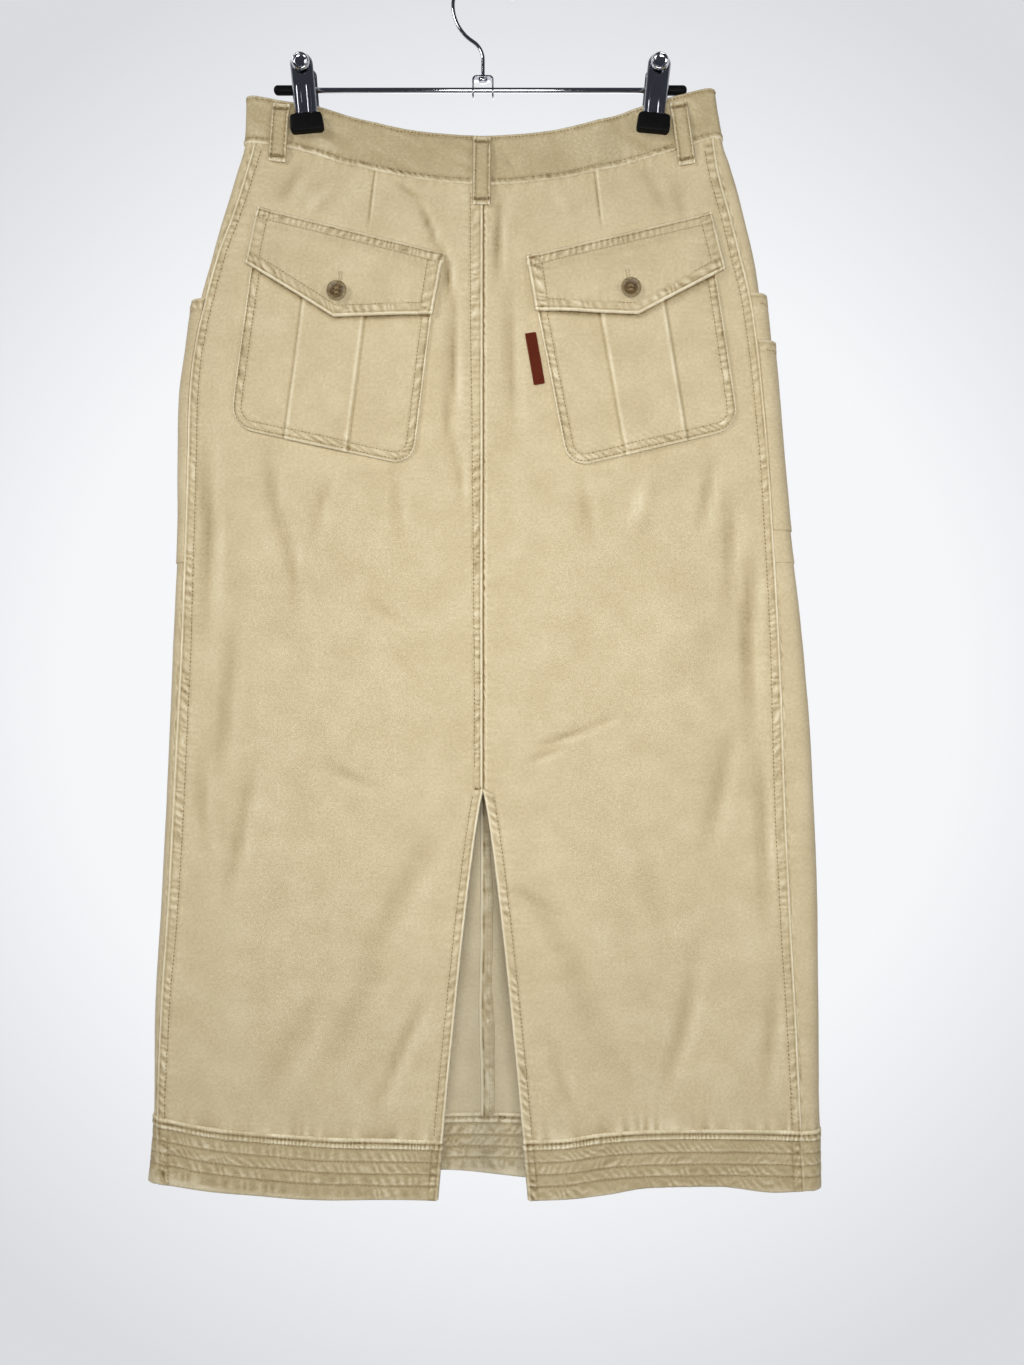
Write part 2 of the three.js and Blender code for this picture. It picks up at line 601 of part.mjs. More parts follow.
function bentWire(name, path, radius, pathSteps) {
  const section = new THREE.Shape().absarc(0, 0, radius, 0, 2 * Math.PI);
  const options = { extrudePath: path, steps: pathSteps, curveSegments: 5, bevelEnabled: false };
  add(name, new THREE.ExtrudeGeometry(section, options), STEEL, 0.15, 1);
}

function addHook() {
  const r = HOOK_RADIUS;
  const centre = -(r + WIRE_RADIUS) + 2 * WIRE_RADIUS;
  const arc = steps(180, 12, 10).map((degrees) => {
    const a = radians(degrees);
    return new THREE.Vector3(r * Math.cos(a), 0, centre + r * Math.sin(a));
  });
  const neck = [[0, -75.2], [0, -66], [-1.2, -57], [-6.5, -49.5], [-15, -41], [-20.5, -32]];
  const points = [...neck.map(([x, z]) => new THREE.Vector3(x, 0, z)), ...arc];
  bentWire("hanger_hook", new THREE.CatmullRomCurve3(points), WIRE_RADIUS, 48);
}

function cylinderX(name, x0, x1, radius, color, roughness, metalness) {
  const geometry = new THREE.CylinderGeometry(radius, radius, x1 - x0, 16);
  geometry.rotateZ(Math.PI / 2);
  const mesh = add(name, geometry, color, roughness, metalness);
  mesh.position.set((x0 + x1) / 2, 0, ROD_Z);
}

function addRod() {
  const capLength = 15;
  cylinderX("hanger_rod", ROD_ENDS[0] + capLength, ROD_ENDS[1] - capLength, ROD_RADIUS, STEEL, 0.15, 1);
  cylinderX("rod_cap_left", ROD_ENDS[0], ROD_ENDS[0] + capLength - 0.3, 3.5, RUBBER, 0.6, 0);
  cylinderX("rod_cap_right", ROD_ENDS[1] - capLength + 0.3, ROD_ENDS[1], 3.5, RUBBER, 0.6, 0);
}

// A U of sheet steel: the rod runs through its legs and the hook stands on its top.
function addBracket() {
  const [halfWidth, depth, sheet, top, foot] = [8, 8, 1.2, -75.6, -91];
  const outline = new THREE.Shape([
    [-halfWidth, foot], [-halfWidth, top], [halfWidth, top], [halfWidth, foot],
    [halfWidth - sheet, foot], [halfWidth - sheet, top - sheet],
    [sheet - halfWidth, top - sheet], [sheet - halfWidth, foot],
  ].map(([x, y]) => new THREE.Vector2(x, y)));
  const body = new THREE.ExtrudeGeometry(outline, { depth, bevelEnabled: false });
  body.rotateX(Math.PI / 2);
  body.translate(0, depth / 2, 0);
  const bore = new THREE.CylinderGeometry(ROD_RADIUS + 0.35, ROD_RADIUS + 0.35, 4 * halfWidth, 16);
  bore.rotateZ(Math.PI / 2);
  bore.translate(0, 0, ROD_Z);
  add("hanger_bracket", geometryFrom(solidOf(body).subtract(solidOf(bore))), STEEL, 0.15, 1);
}

// One clip: two bent plates on a barrel round the rod, each with a rubber pad on the waistband.
function addClip({ name, x, lean }) {
  const clip = new THREE.Group();
  clip.position.set(x, 0, PAD.z);
  clip.rotation.y = radians(lean);
  group.add(clip);
  const place = (mesh) => clip.add(mesh);

  const plate = { width: 16.5, sheet: 1.2, foot: PAD.height / 2 + 0.3, near: 6.7, waist: 20, head: 51 };
  for (const [face, word] of [[-1, "front"], [1, "back"]]) {
    const profile = [
      [plate.near, plate.foot], [6.6, plate.waist], [6.6, plate.waist + 12], [11.5, plate.head],
      [11.5 + plate.sheet, plate.head], [6.6 + plate.sheet, plate.waist + 12],
      [6.6 + plate.sheet, plate.waist], [plate.near + plate.sheet, plate.foot],
    ].map(([y, z]) => new THREE.Vector2(face * y, z));
    const options = { depth: plate.width, bevelEnabled: false };
    const sheet = new THREE.ExtrudeGeometry(new THREE.Shape(profile), options);
    sheet.rotateX(Math.PI / 2);
    sheet.rotateZ(Math.PI / 2);
    sheet.translate(-plate.width / 2, 0, 0);
    place(add(`clip_${name}_${word}_plate`, sheet, STEEL, 0.2, 1));

    const padDepth = { depth: PAD.thick, bevelEnabled: false };
    const [w, h] = [PAD.width / 2, PAD.height / 2];
    const corners = [[-w, -h], [w, -h], [w, h], [-w, h]].map(([a, b]) => new THREE.Vector2(a, b));
    const pad = new THREE.ExtrudeGeometry(new THREE.Shape(corners), padDepth);
    pad.rotateX(Math.PI / 2);
    pad.translate(0, face < 0 ? -PAD.face : PAD.face + PAD.thick, 0);
    place(add(`clip_${name}_${word}_pad`, pad, RUBBER, 0.7, 0));
  }

  const rivet = new THREE.CylinderGeometry(4.6, 5, 1.4, 20);
  const rivetMesh = place(add(`clip_${name}_rivet`, rivet, STEEL, 0.15, 1)).children.at(-1);
  rivetMesh.position.set(0, -13.7, plate.head - 8);
  const slope = Math.atan2(11.5 - 6.6, plate.head - plate.waist - 12);
  rivetMesh.rotation.x = -slope;
}

function addBarrels() {
  for (const { name, x, lean } of CLIPS) {
    const rodRise = ROD_Z - PAD.z;
    const middle = x + Math.tan(radians(lean)) * rodRise;
    const outline = new THREE.Shape().absarc(0, 0, 4.6, 0, 2 * Math.PI);
    outline.holes.push(new THREE.Path().absarc(0, 0, ROD_RADIUS + 0.35, 0, 2 * Math.PI, true));
    const options = { depth: 12, bevelEnabled: false, curveSegments: 10 };
    const barrel = new THREE.ExtrudeGeometry(outline, options);
    barrel.rotateY(Math.PI / 2);
    barrel.translate(middle - 6, 0, ROD_Z);
    add(`clip_${name}_barrel`, barrel, STEEL, 0.2, 1);
  }
}

addPanels();
addHemBands();
addWaistband();
BACK_POCKETS.forEach(addBackPocket);
addTab();
LOOPS.forEach(addBeltLoop);
FRONT_POCKETS.forEach(addFrontPocket);
addFly();
addButton("waist_button", 1, [-14, -153], BAND / 2 + BAND + 2 * LIFT);
addHook();
addBracket();
addRod();
addBarrels();
CLIPS.forEach(addClip);

export default group;
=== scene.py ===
"""A washed khaki cargo skirt, hung flat by its waistband from a clip hanger and seen from its back.

Sizes in the tables are millimetres, in the frame's own axes: +Z up, -Y the skirt's back, -X the
wearer's left. Points become metres where a mesh is made.

The cloth is one flattened tube. cloth_frame() and face_frame() give any point of it and the way out
from it, and every panel, band and pocket is a fine closed wall over that form, with its own seams,
puckers and creases.
"""

import math

import bmesh
import bpy
import numpy as np
from mathutils import Matrix, Vector
from mathutils.bvhtree import BVHTree


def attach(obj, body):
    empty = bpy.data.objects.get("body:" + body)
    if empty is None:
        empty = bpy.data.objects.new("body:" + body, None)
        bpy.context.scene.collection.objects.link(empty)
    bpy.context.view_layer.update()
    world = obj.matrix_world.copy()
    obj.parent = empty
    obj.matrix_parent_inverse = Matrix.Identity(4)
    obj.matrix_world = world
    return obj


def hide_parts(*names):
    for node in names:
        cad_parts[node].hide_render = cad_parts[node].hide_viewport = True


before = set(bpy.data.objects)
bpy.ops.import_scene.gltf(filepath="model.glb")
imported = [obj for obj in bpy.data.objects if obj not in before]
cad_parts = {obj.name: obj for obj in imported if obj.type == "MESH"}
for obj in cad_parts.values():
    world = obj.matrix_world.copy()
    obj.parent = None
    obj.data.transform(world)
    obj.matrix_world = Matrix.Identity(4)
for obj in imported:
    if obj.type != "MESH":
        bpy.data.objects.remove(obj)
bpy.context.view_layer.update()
MM = 0.001

# ------------------------------------------------------------------ the cut and the hang


def table(columns, rows):
    return dict(zip(columns.split(), np.array(rows, float).T))


# The tube at each height: outer folds, side seams, how far each face bows out, fold radius.
SECTIONS = table(
    "z left right seam_left seam_right back front fold",
    [
        (-910, -250.5, 252.2, -240.6, 239, 18, 19, 9),
        (-870, -246.5, 251.8, -241, 236.8, 18, 19, 9.3),
        (-842, -245.5, 251.3, -241, 235.2, 18, 19, 9.5),
        (-767, -244.5, 250.6, -238, 231.5, 18, 18.5, 9.5),
        (-690, -240, 249.8, -233, 227.4, 18, 18, 9.3),
        (-620, -236.5, 247, -229.5, 224.3, 17.6, 17.5, 9),
        (-560, -234, 244, -226.5, 222.3, 17.3, 17, 8.8),
        (-500, -231.5, 239, -223.5, 220, 17, 16.5, 8.5),
        (-425, -228, 230.5, -221, 216, 16.5, 15.5, 8),
        (-360, -225, 223, -219, 212, 16, 15, 7.5),
        (-315, -222.5, 217.5, -217.8, 208, 15.5, 14, 7),
        (-280, -217.5, 212.5, -214, 204.5, 15, 13, 6.5),
        (-245, -211.5, 207.5, -206.5, 199.7, 14, 12, 6),
        (-210, -202, 202, -197, 191.5, 12.5, 10.5, 5.5),
        (-180, -193.5, 195, -186, 184, 10.5, 9, 5),
        (-150, -184.5, 187, -177, 176, 8, 7, 4.2),
        (-125, -177.5, 179, -170.7, 172.3, 6, 5.4, 3.6),
        (-85, -176, 172.5, -170.5, 168, 4.6, 4.2, 3),
    ],
)
WAIST = table(
    "x top seam",
    [
        (-176, -91.2, -126),
        (-150, -95, -128.3),
        (-122, -99.5, -135),
        (-88, -111, -145.7),
        (-46, -119.8, -155),
        (0, -123.1, -159.8),
        (46, -120, -156.3),
        (88, -110.4, -146.7),
        (120, -99.4, -137.2),
        (150, -90.6, -128.6),
        (176, -85.2, -121.7),
    ],
)
HEM = table(
    "x seam bottom",
    [
        (-250, -851, -899.5),
        (-192, -860, -906),
        (-110, -864.5, -909.5),
        (-33, -864.5, -908),
        (33, -864.5, -908),
        (70, -861, -905),
        (105, -859.5, -901),
        (170, -860, -901.5),
        (215, -861, -906.5),
        (250, -862, -905),
    ],
)
VENT_TOP, VENT_HALF, VENT_DROP, VENT_CURVE, CENTRE = -608, 33.6, 299, 0.79, 0.5
FRONT_DIP, WAIST_HALF, HEM_HALF, LAP = 12, 172, 246, 32

# Folds and creases: face, middle x and z, length, half width, depth out of the face, lean of the
# foot towards +X. The first twelve are the cloth's largest folds, the rest its smaller creases.
FOLDS = [
    (-1, -196, -450, 300, 34, -2.6, -2),
    (-1, -172, -640, 300, 40, -2.4, -9),
    (-1, 190, -560, 420, 40, -3, 1),
    (-1, 160, -760, 260, 46, -2.2, -14),
    (-1, -96, -520, 260, 46, -2, 10),
    (-1, -70, -760, 260, 60, 2.8, -22),
    (-1, 84, -770, 240, 56, 2.6, 24),
    (-1, 92, -480, 220, 44, -1.8, -8),
    (1, -178, -620, 380, 44, -2.8, -4),
    (1, 182, -600, 400, 40, -2.6, 5),
    (1, -58, -700, 340, 60, 2.4, -8),
    (1, 74, -740, 300, 54, 2.6, 9),
    # below the waistband, left of the centre back seam
    (-1, -53, -168, 34, 4, -1.5, 53),
    (-1, -38.5, -192, 62, 5, -1.7, 22),
    (-1, -25, -228, 80, 5, -1.7, 12),
    (-1, -21, -300, 140, 6, -1.5, -1),
    (-1, -22, -345, 60, 5, -0.8, 3),
    (-1, -16, -376, 70, 6, -0.9, 3),
    (-1, 13, -200, 90, 6, -1.3, -4),
    (-1, 24, -290, 150, 8, -1.1, 2),
    # on the waistband beside its middle loop
    (-1, 20, -141, 34, 4, -1.3, 31),
    (-1, -36, -137, 30, 4, -1.1, 20),
    (-1, -74, -128, 26, 5, -0.9, 50),
    (-1, 66, -132, 30, 5, -0.9, -46),
    (-1, 98, -124, 26, 4, 0.8, -20),
    # across the yoke
    (-1, -140, -158, 50, 8, -0.8, -28),
    (-1, -120, -172, 44, 7, 0.6, -40),
    (-1, 128, -160, 60, 8, -0.9, 30),
    (-1, 150, -176, 60, 8, -0.7, 12),
    (-1, 60, -176, 44, 7, 0.5, 30),
    # under the left pocket
    (-1, -150, -395, 120, 9, -1.2, 12),
    (-1, -138, -440, 110, 8, -0.9, 6),
    (-1, -118, -400, 70, 7, -0.7, -14),
    (-1, -60, -400, 80, 8, -0.8, 8),
    # under the right pocket
    (-1, 76, -400, 70, 8, -0.7, 10),
    (-1, 118, -396, 70, 9, 0.7, -14),
    (-1, 168, -392, 80, 8, -1, -8),
    (-1, 186, -430, 120, 10, -1.2, -2),
    # down the left side
    (-1, -203, -420, 190, 10, -1.6, -1),
    (-1, -188, -540, 160, 10, -1, -6),
    (-1, -178, -640, 150, 9, -1, -8),
    (-1, -205, -620, 120, 8, -0.8, 4),
    # down the right side
    (-1, 200, -500, 190, 10, -1.6, 1),
    (-1, 208, -640, 170, 9, -1.2, 2),
    (-1, 176, -610, 130, 11, -0.9, -10),
    (-1, 150, -780, 150, 11, -1, -12),
    (-1, 214, -790, 120, 9, -0.9, -2),
    # small diagonal pulls at mid length
    (-1, 62, -570, 56, 4, -0.8, -72),
    (-1, 48, -582, 44, 4, -0.6, -64),
    (-1, 88, -560, 40, 4, -0.5, -70),
    (-1, -66, -480, 60, 7, -0.8, 52),
    (-1, -52, -520, 60, 6, -0.6, 40),
    (-1, -96, -600, 70, 8, -0.6, 66),
    (-1, 40, -690, 60, 7, -0.6, 58),
    # fan from the vent
    (-1, -60, -690, 190, 16, -1.5, -30),
    (-1, -92, -770, 180, 17, -1.4, -28),
    (-1, -58, -800, 130, 8, -0.9, -22),
    (-1, -136, -790, 150, 18, -1.3, -30),
    (-1, 62, -730, 180, 16, -1.4, 28),
    (-1, 98, -800, 140, 15, -1.3, 30),
    (-1, 60, -820, 90, 7, -0.7, 20),
    (-1, 130, -690, 150, 15, -1.1, 16),
    # the front face, much as the back
    (1, -200, -480, 220, 10, -1.3, -2),
    (1, 204, -520, 240, 10, -1.3, 2),
    (1, -120, -520, 160, 12, -1, 12),
    (1, 116, -560, 170, 12, -1, -10),
    (1, -60, -620, 180, 10, -1, -16),
    (1, 66, -660, 170, 10, -1, 18),
    (1, -36, -760, 150, 9, -0.9, -6),
    (1, 26, -800, 120, 8, -0.8, 8),
    (1, 150, -760, 150, 11, -0.9, -8),
    (1, -150, -770, 150, 11, -0.9, 8),
    (1, 52, -360, 90, 8, -0.8, -18),
    (1, -50, -350, 100, 8, -0.8, 16),
]

CLIPS = {"left": (-130.8, -5.0), "right": (127.0, 5.5)}  # x of the pads, lean in degrees
PAD_Z, PINCHED = -113.2, 1.6
CLOTH, BAND = 1.2, 2.4
GAP, LIFT = 0.3, 0.4
CREASE, BROAD = 1.25, 0.55  # how far the small creases and the broad folds stand out
CREASE_WIDTH, SHADED_FOLD_WIDTH = 13, 20  # folds narrower than the first are creases; narrower than the second, they wander and carry a painted shade


def lerp(a, b, t):
    return a + (b - a) * t


def smooth(t):
    t = np.clip(t, 0, 1)
    return t * t * (3 - 2 * t)


def hump(t):
    return np.where(np.abs(t) >= 1, 0.0, np.cos(np.clip(t, -1, 1) * math.pi / 2) ** 2)


def plateau(distance, reach, falloff):
    return hump(np.maximum(np.abs(distance) - reach, 0) / falloff)


def curve(rows, axis, column, at):
    """A table's column as a smooth curve through its rows."""
    keys, values = rows[axis], rows[column]
    before = np.maximum(np.arange(len(keys)) - 1, 0)
    after = np.minimum(np.arange(len(keys)) + 1, len(keys) - 1)
    slopes = (values[after] - values[before]) / (keys[after] - keys[before])
    at = np.clip(at, keys[0], keys[-1])
    i = np.clip(np.searchsorted(keys, at) - 1, 0, len(keys) - 2)
    step = keys[i + 1] - keys[i]
    t = (at - keys[i]) / step
    rise = t * t * (3 - 2 * t)
    leave, arrive = t * (1 - t) ** 2 * step, t * t * (t - 1) * step
    return lerp(values[i], values[i + 1], rise) + leave * slopes[i] + arrive * slopes[i + 1]


def wander(at, period, seed):
    """A smooth uneven line between -1 and 1, with a new value every period."""
    picks = np.random.RandomState(seed).uniform(-1, 1, 512)
    place = np.asarray(at, float) / period + 137.0
    i = np.floor(place).astype(int)
    t = smooth(place - i)
    return lerp(picks[i % 512], picks[(i + 1) % 512], t)


def fold_rise(face, x, z, widest=100):
    rise = np.zeros(np.broadcast(x, z).shape)
    for f_face, fx, fz, length, width, depth, lean in FOLDS:
        if f_face != face or width > widest:
            continue
        c, s = math.cos(math.radians(lean)), math.sin(math.radians(lean))
        across = (x - fx) * c + (z - fz) * s
        along = (x - fx) * s - (z - fz) * c
        if width < SHADED_FOLD_WIDTH:
            across = across + 0.25 * width * wander(along, width * 5, int(abs(fx) + abs(fz)))
        depth = depth * (CREASE if width < CREASE_WIDTH else BROAD)
        rise += depth * hump(across / width) * hump(along / (length / 2))
    return rise


def crease_painted_shade(face, x, z):
    """Painted light and shade on the small folds: one flank painted light and the other painted dark, as if
    lit from one side, and the trough painted dark.
    """
    step = 2.2
    lower, upper = (fold_rise(face, x + way, z - way, SHADED_FOLD_WIDTH) for way in (step, -step))
    return 0.2 * fold_rise(face, x, z, SHADED_FOLD_WIDTH) + 0.34 * (lower - upper)


NOISE = np.random.RandomState(11).uniform(-1, 1, (64, 64))


def cockle(x, z, period, shift):
    """Soft uneven ground of cloth that has been washed and not pressed, from -1 to 1."""
    u, v = x / period + shift, z / period - 0.6 * shift
    i, j = np.floor(u).astype(int), np.floor(v).astype(int)
    a, b = smooth(u - i), smooth(v - j)
    low = lerp(NOISE[i % 64, j % 64], NOISE[(i + 1) % 64, j % 64], a)
    high = lerp(NOISE[i % 64, (j + 1) % 64], NOISE[(i + 1) % 64, (j + 1) % 64], a)
    return lerp(low, high, b)


def ground(face, x, z):
    shift = 3.7 if face < 0 else 21.3
    return 0.9 * cockle(x, z, 62, shift) + 0.45 * cockle(x + 0.4 * z, z, 27, shift + 5)


def squeeze(x, z):
    most = np.zeros(np.broadcast(x, z).shape)
    for clip_x, _ in CLIPS.values():
        most = np.maximum(most, plateau(x - clip_x, 21, 22) * plateau(z - PAD_Z, 18, 60))
    return most


def ring(side, z):
    fold = curve(SECTIONS, "z", "fold", z)
    left, right = (curve(SECTIONS, "z", name, z) for name in ("left", "right"))
    return fold, np.where(np.asarray(side) < 0, -left, right) - fold


def face_depth(face, x, z):
    fold, flat = ring(np.where(x < 0, -1, 1), z)
    bow = curve(SECTIONS, "z", "back" if face < 0 else "front", z)
    share = np.minimum(np.abs(x) / flat, 1)
    free = fold + (bow - fold) * np.cos(math.pi / 2 * share) ** 2
    inner = 1 - share**8
    return lerp(free + (fold_rise(face, x, z) + ground(face, x, z)) * inner, PINCHED, squeeze(x, z) * inner)


def face_frame(face, x, z):
    """The middle of the cloth on the back (face -1) or front (face 1), and the way out from it."""
    x, z = np.broadcast_arrays(np.asarray(x, float), np.asarray(z, float))
    e = 0.5
    slope_x = (face_depth(face, x + e, z) - face_depth(face, x - e, z)) / (2 * e)
    slope_z = (face_depth(face, x, z + e) - face_depth(face, x, z - e)) / (2 * e)
    out = np.stack([-slope_x, np.full(x.shape, float(face)), -slope_z], -1)
    out /= np.linalg.norm(out, axis=-1, keepdims=True)
    return np.stack([x, face * face_depth(face, x, z), z], -1), out


def cloth_frame(side, walk, z):
    """The middle of the tube's cloth and the way out: walk is the distance round from centre back."""
    side, walk, z = np.broadcast_arrays(*(np.asarray(v, float) for v in (side, walk, z)))
    fold, flat = ring(side, z)
    arc = math.pi * fold
    turn = np.clip((walk - flat) / fold, 0, math.pi)
    sin, cos = np.sin(turn), np.cos(turn)
    base = np.stack([side * (flat + fold * sin), -fold * cos, z], -1)
    out = np.stack([side * sin, -cos, np.zeros(z.shape)], -1)
    for face, on_face, x in (
        (-1, walk < flat, side * walk),
        (1, walk > flat + arc, side * (2 * flat + arc - walk)),
    ):
        if on_face.any():
            base[on_face], out[on_face] = face_frame(face, x[on_face], z[on_face])
    return base, out


def vent_half(z):
    return VENT_HALF * np.maximum((VENT_TOP - z) / VENT_DROP, 0) ** VENT_CURVE


def back_start(side, z):
    return np.where(z > VENT_TOP, 0, np.maximum(vent_half(z) + side * CENTRE, 0))


def seam_walk(side, z):
    fold, flat = ring(side, z)
    left, right = (curve(SECTIONS, "z", name, z) for name in ("seam_left", "seam_right"))
    x = np.where(np.asarray(side) < 0, -left, right)
    return np.where(x <= flat, x, flat + fold * np.arcsin(np.clip((x - flat) / fold, 0, 1)))


def walk_to(side, station, z):
    """Stations: 0 centre back, 1 side seam, 2 the end of the side fold, 3 centre front."""
    fold, flat = ring(side, z)
    end = flat + math.pi * fold
    seam = seam_walk(side, z)
    back = lerp(back_start(side, z), seam, station)
    over = lerp(seam, end, station - 1)
    front = lerp(end, end + flat, station - 2)
    return np.where(station <= 1, back, np.where(station <= 2, over, front))


def station_x(side, station, half):
    share = np.where(station <= 1, station, np.where(station <= 2, 1, 3 - station))
    return side * half * share


def waist_z(column, side, station):
    dip = np.where(station <= 2, 0, 1 - np.cos(math.pi / 2 * np.clip(station - 2, 0, 1)) ** 2)
    return curve(WAIST, "x", column, station_x(side, station, WAIST_HALF)) - FRONT_DIP * dip


def hem_z(column, side, station):
    x = station_x(side, station, HEM_HALF)
    middle = hump(x / 120) * (np.asarray(station) > 2)
    lift = 5 if column == "seam" else 3.2 - 0.1 * x
    return curve(HEM, "x", column, x) + lift * middle


# ------------------------------------------------------------------ seams: puckers and edges


def rope(along, across, width, seed, pitch=6.0, slant=0.5):
    """The twisted puckers between a seam's edge and its stitch row, from -1 to 1."""
    lean = slant + 0.5 * wander(along, 38, seed + 3)
    phase = along / pitch + 0.8 * wander(along, 9, seed) + lean * across / width
    wave = 0.75 * np.sin(2 * math.pi * phase) + 0.5 * wander(along + 2.4 * across, pitch * 0.42, seed + 1)
    strength = np.clip(0.7 + 0.45 * wander(along, 23, seed + 2), 0.3, 1)
    inside = np.clip(across / width, 0, 1)
    profile = np.where(across <= width, np.sin(math.pi * inside**1.3) ** 0.9, 0)
    return wave * strength * profile


def fringe(along, beyond, seed, pitch=6.0, reach=4.5):
    """Faint puckers that run out into the panel past a stitch row."""
    phase = along / pitch + 0.42 * wander(along, 11, seed)
    fade = np.where(beyond > 0, np.exp(-beyond / reach) * np.minimum(beyond / 1.5, 1), 0)
    return np.sin(2 * math.pi * phase) * fade * (0.6 + 0.4 * wander(along, 27, seed + 5))


def groove(distance, half=0.9):
    return np.exp(-((distance / half) ** 2))


class Relief:
    """Collects a piece's height above its form and its painted light and shade, with some wear, seam by seam.
    """

    def __init__(self, shape):
        self.out = np.zeros(shape)
        self.shade = np.zeros(shape)

    def seam(self, along, across, width, seed, height=0.34, pitch=6.0, ply=0.5, edge=1.0, row=True, tone=1.0):
        """A folded seam: across runs from its edge, and its stitch row lies at width."""
        across = np.broadcast_to(across, self.out.shape)
        along = np.broadcast_to(along, self.out.shape)
        puckers = rope(along, across, width, seed, pitch)
        beyond = fringe(along, across - width, seed, pitch)
        inside = smooth((width + 1.4 - across) / 2.8) * (across >= -0.01)
        self.out += ply * inside + 1.25 * height * puckers + 0.4 * height * beyond
        # painted shade: the puckers painted light on their rises and dark between, the allowance a little
        # darker
        self.shade += tone * (0.8 * puckers - 0.1 * inside + 0.2 * beyond)
        if row:
            self.out -= 0.24 * groove(across - width)
            # painted shadow in the stitch row's groove
            self.shade -= tone * 0.3 * groove(across - width, 0.9) * (0.7 + 0.3 * wander(along, 3, seed + 8))
        if edge:
            # a painted highlight along the folded edge and a painted shadow just past it, of patchy strength
            patchy = 0.95 + 0.25 * wander(along, 9, seed + 7)
            self.out += 0.25 * edge * groove(across - 1, 0.8)
            self.shade += edge * patchy * groove(np.maximum(across, 0) - 0.4, 0.62)
            self.shade -= 0.5 * edge * patchy * groove(across - 1.9, 0.6)
        return self

    def stitch_line(self, along, distance, seed, depth=0.25, tone=0.36):
        self.out -= depth * groove(distance)
        # painted shadow in the stitch groove
        self.shade -= tone * groove(distance, 1.1) * (0.75 + 0.25 * wander(along, 5, seed))
        return self

    def add(self, out=0.0, shade=0.0):
        self.out = self.out + out
        self.shade = self.shade + shade
        return self


# ------------------------------------------------------------------ closed walls as meshes


def closed_wall(name, outer, inner, uv, shade, material, inside=0.3, pale=0.0, bulge=0.42):
    """A closed sheet from two grids of points in millimetres, with its edges rounded off."""
    rows, columns = outer.shape[:2]
    count = rows * columns
    index = np.arange(count).reshape(rows, columns)

    rim = np.concatenate([index[0, :-1], index[:-1, -1], index[-1, :0:-1], index[:0:-1, 0]])
    inward = np.concatenate([index[1, :-1], index[:-1, -2], index[-2, :0:-1], index[:0:-1, 1]])
    o, n = outer.reshape(-1, 3), inner.reshape(-1, 3)
    middle = (o + n) / 2
    away = middle[rim] - middle[inward]
    away /= np.linalg.norm(away, axis=1, keepdims=True) + 1e-9
    thick = np.linalg.norm(o[rim] - n[rim], axis=1, keepdims=True)
    edge = middle[rim] + away * thick * bulge
    points = np.concatenate([o, n, edge]) * MM

    a, b, c, d = index[:-1, :-1], index[:-1, 1:], index[1:, 1:], index[1:, :-1]
    top = np.stack([a, d, c, b], -1).reshape(-1, 4)
    under = np.stack([a, b, c, d], -1).reshape(-1, 4) + count
    after = np.roll(rim, -1)
    ring_at = np.arange(len(rim)) + 2 * count
    ring_after = np.roll(ring_at, -1)
    upper = np.stack([rim, after, ring_after, ring_at], -1)
    lower = np.stack([ring_at, ring_after, after + count, rim + count], -1)
    faces = np.concatenate([top, under, upper, lower])

    first = points[faces[: len(top)]]
    crossed = np.cross(first[:, 1] - first[:, 0], first[:, 3] - first[:, 0])
    outwards = np.mean(np.sum(crossed * (o - n)[faces[: len(top), 0]], axis=1))
    if outwards < 0:
        faces = faces[:, ::-1]

    mesh = bpy.data.meshes.new(name)
    mesh.vertices.add(len(points))
    mesh.vertices.foreach_set("co", points.ravel())
    mesh.loops.add(faces.size)
    mesh.loops.foreach_set("vertex_index", faces.ravel())
    mesh.polygons.add(len(faces))
    mesh.polygons.foreach_set("loop_start", np.arange(0, faces.size, 4))
    mesh.update(calc_edges=True)
    flat_uv = uv.reshape(-1, 2) * MM
    every_uv = np.concatenate([flat_uv, flat_uv, flat_uv[rim]])
    layer = mesh.uv_layers.new(name="cloth")
    layer.data.foreach_set("uv", every_uv[faces.ravel()].ravel())
    # each point's painted light and shade, with some wear; the inner face takes a share of it, made paler by
    # a painted light
    inner_shade = np.clip(shade.ravel() * inside + pale, -1.5, 1.5)
    every_shade = np.concatenate([np.clip(shade.ravel(), -1.5, 1.5), inner_shade, shade.ravel()[rim]])
    painted_shade_and_wear = mesh.attributes.new("painted_shade_and_wear", "FLOAT", "POINT")
    painted_shade_and_wear.data.foreach_set("value", every_shade.astype(np.float32))
    mesh.shade_smooth()
    mesh.validate()
    piece = bpy.data.objects.new(name, mesh)
    bpy.context.scene.collection.objects.link(piece)
    mesh.materials.append(material)
    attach(piece, "root")
    return piece


# How far the columns beside a seam lie from its edge, in millimetres.
EDGE_STEPS = (0, 0.45, 0.9, 1.4, 2.0, 2.8, 3.8, 5, 6.2, 7.4, 8.6, 9.8, 11.2)


def graded(length_mid, fine_start, fine_end, dart=False):
    """Shares and set distances for columns: fine near both edges and over a dart, even between."""
    near = [step for step in EDGE_STEPS if step < fine_start]
    far = [step for step in EDGE_STEPS if step < fine_end][::-1]
    middle = np.linspace(0, 1, length_mid + 1)
    if dart:
        coarse = middle[(middle < 0.41) | (middle > 0.505)]
        middle = np.sort(np.concatenate([coarse, np.linspace(0.415, 0.5, 14)]))
    kinds = [("start", v) for v in near] + [("middle", v) for v in middle] + [("end", v) for v in far]
    return kinds, fine_start, fine_end


# ------------------------------------------------------------------ materials


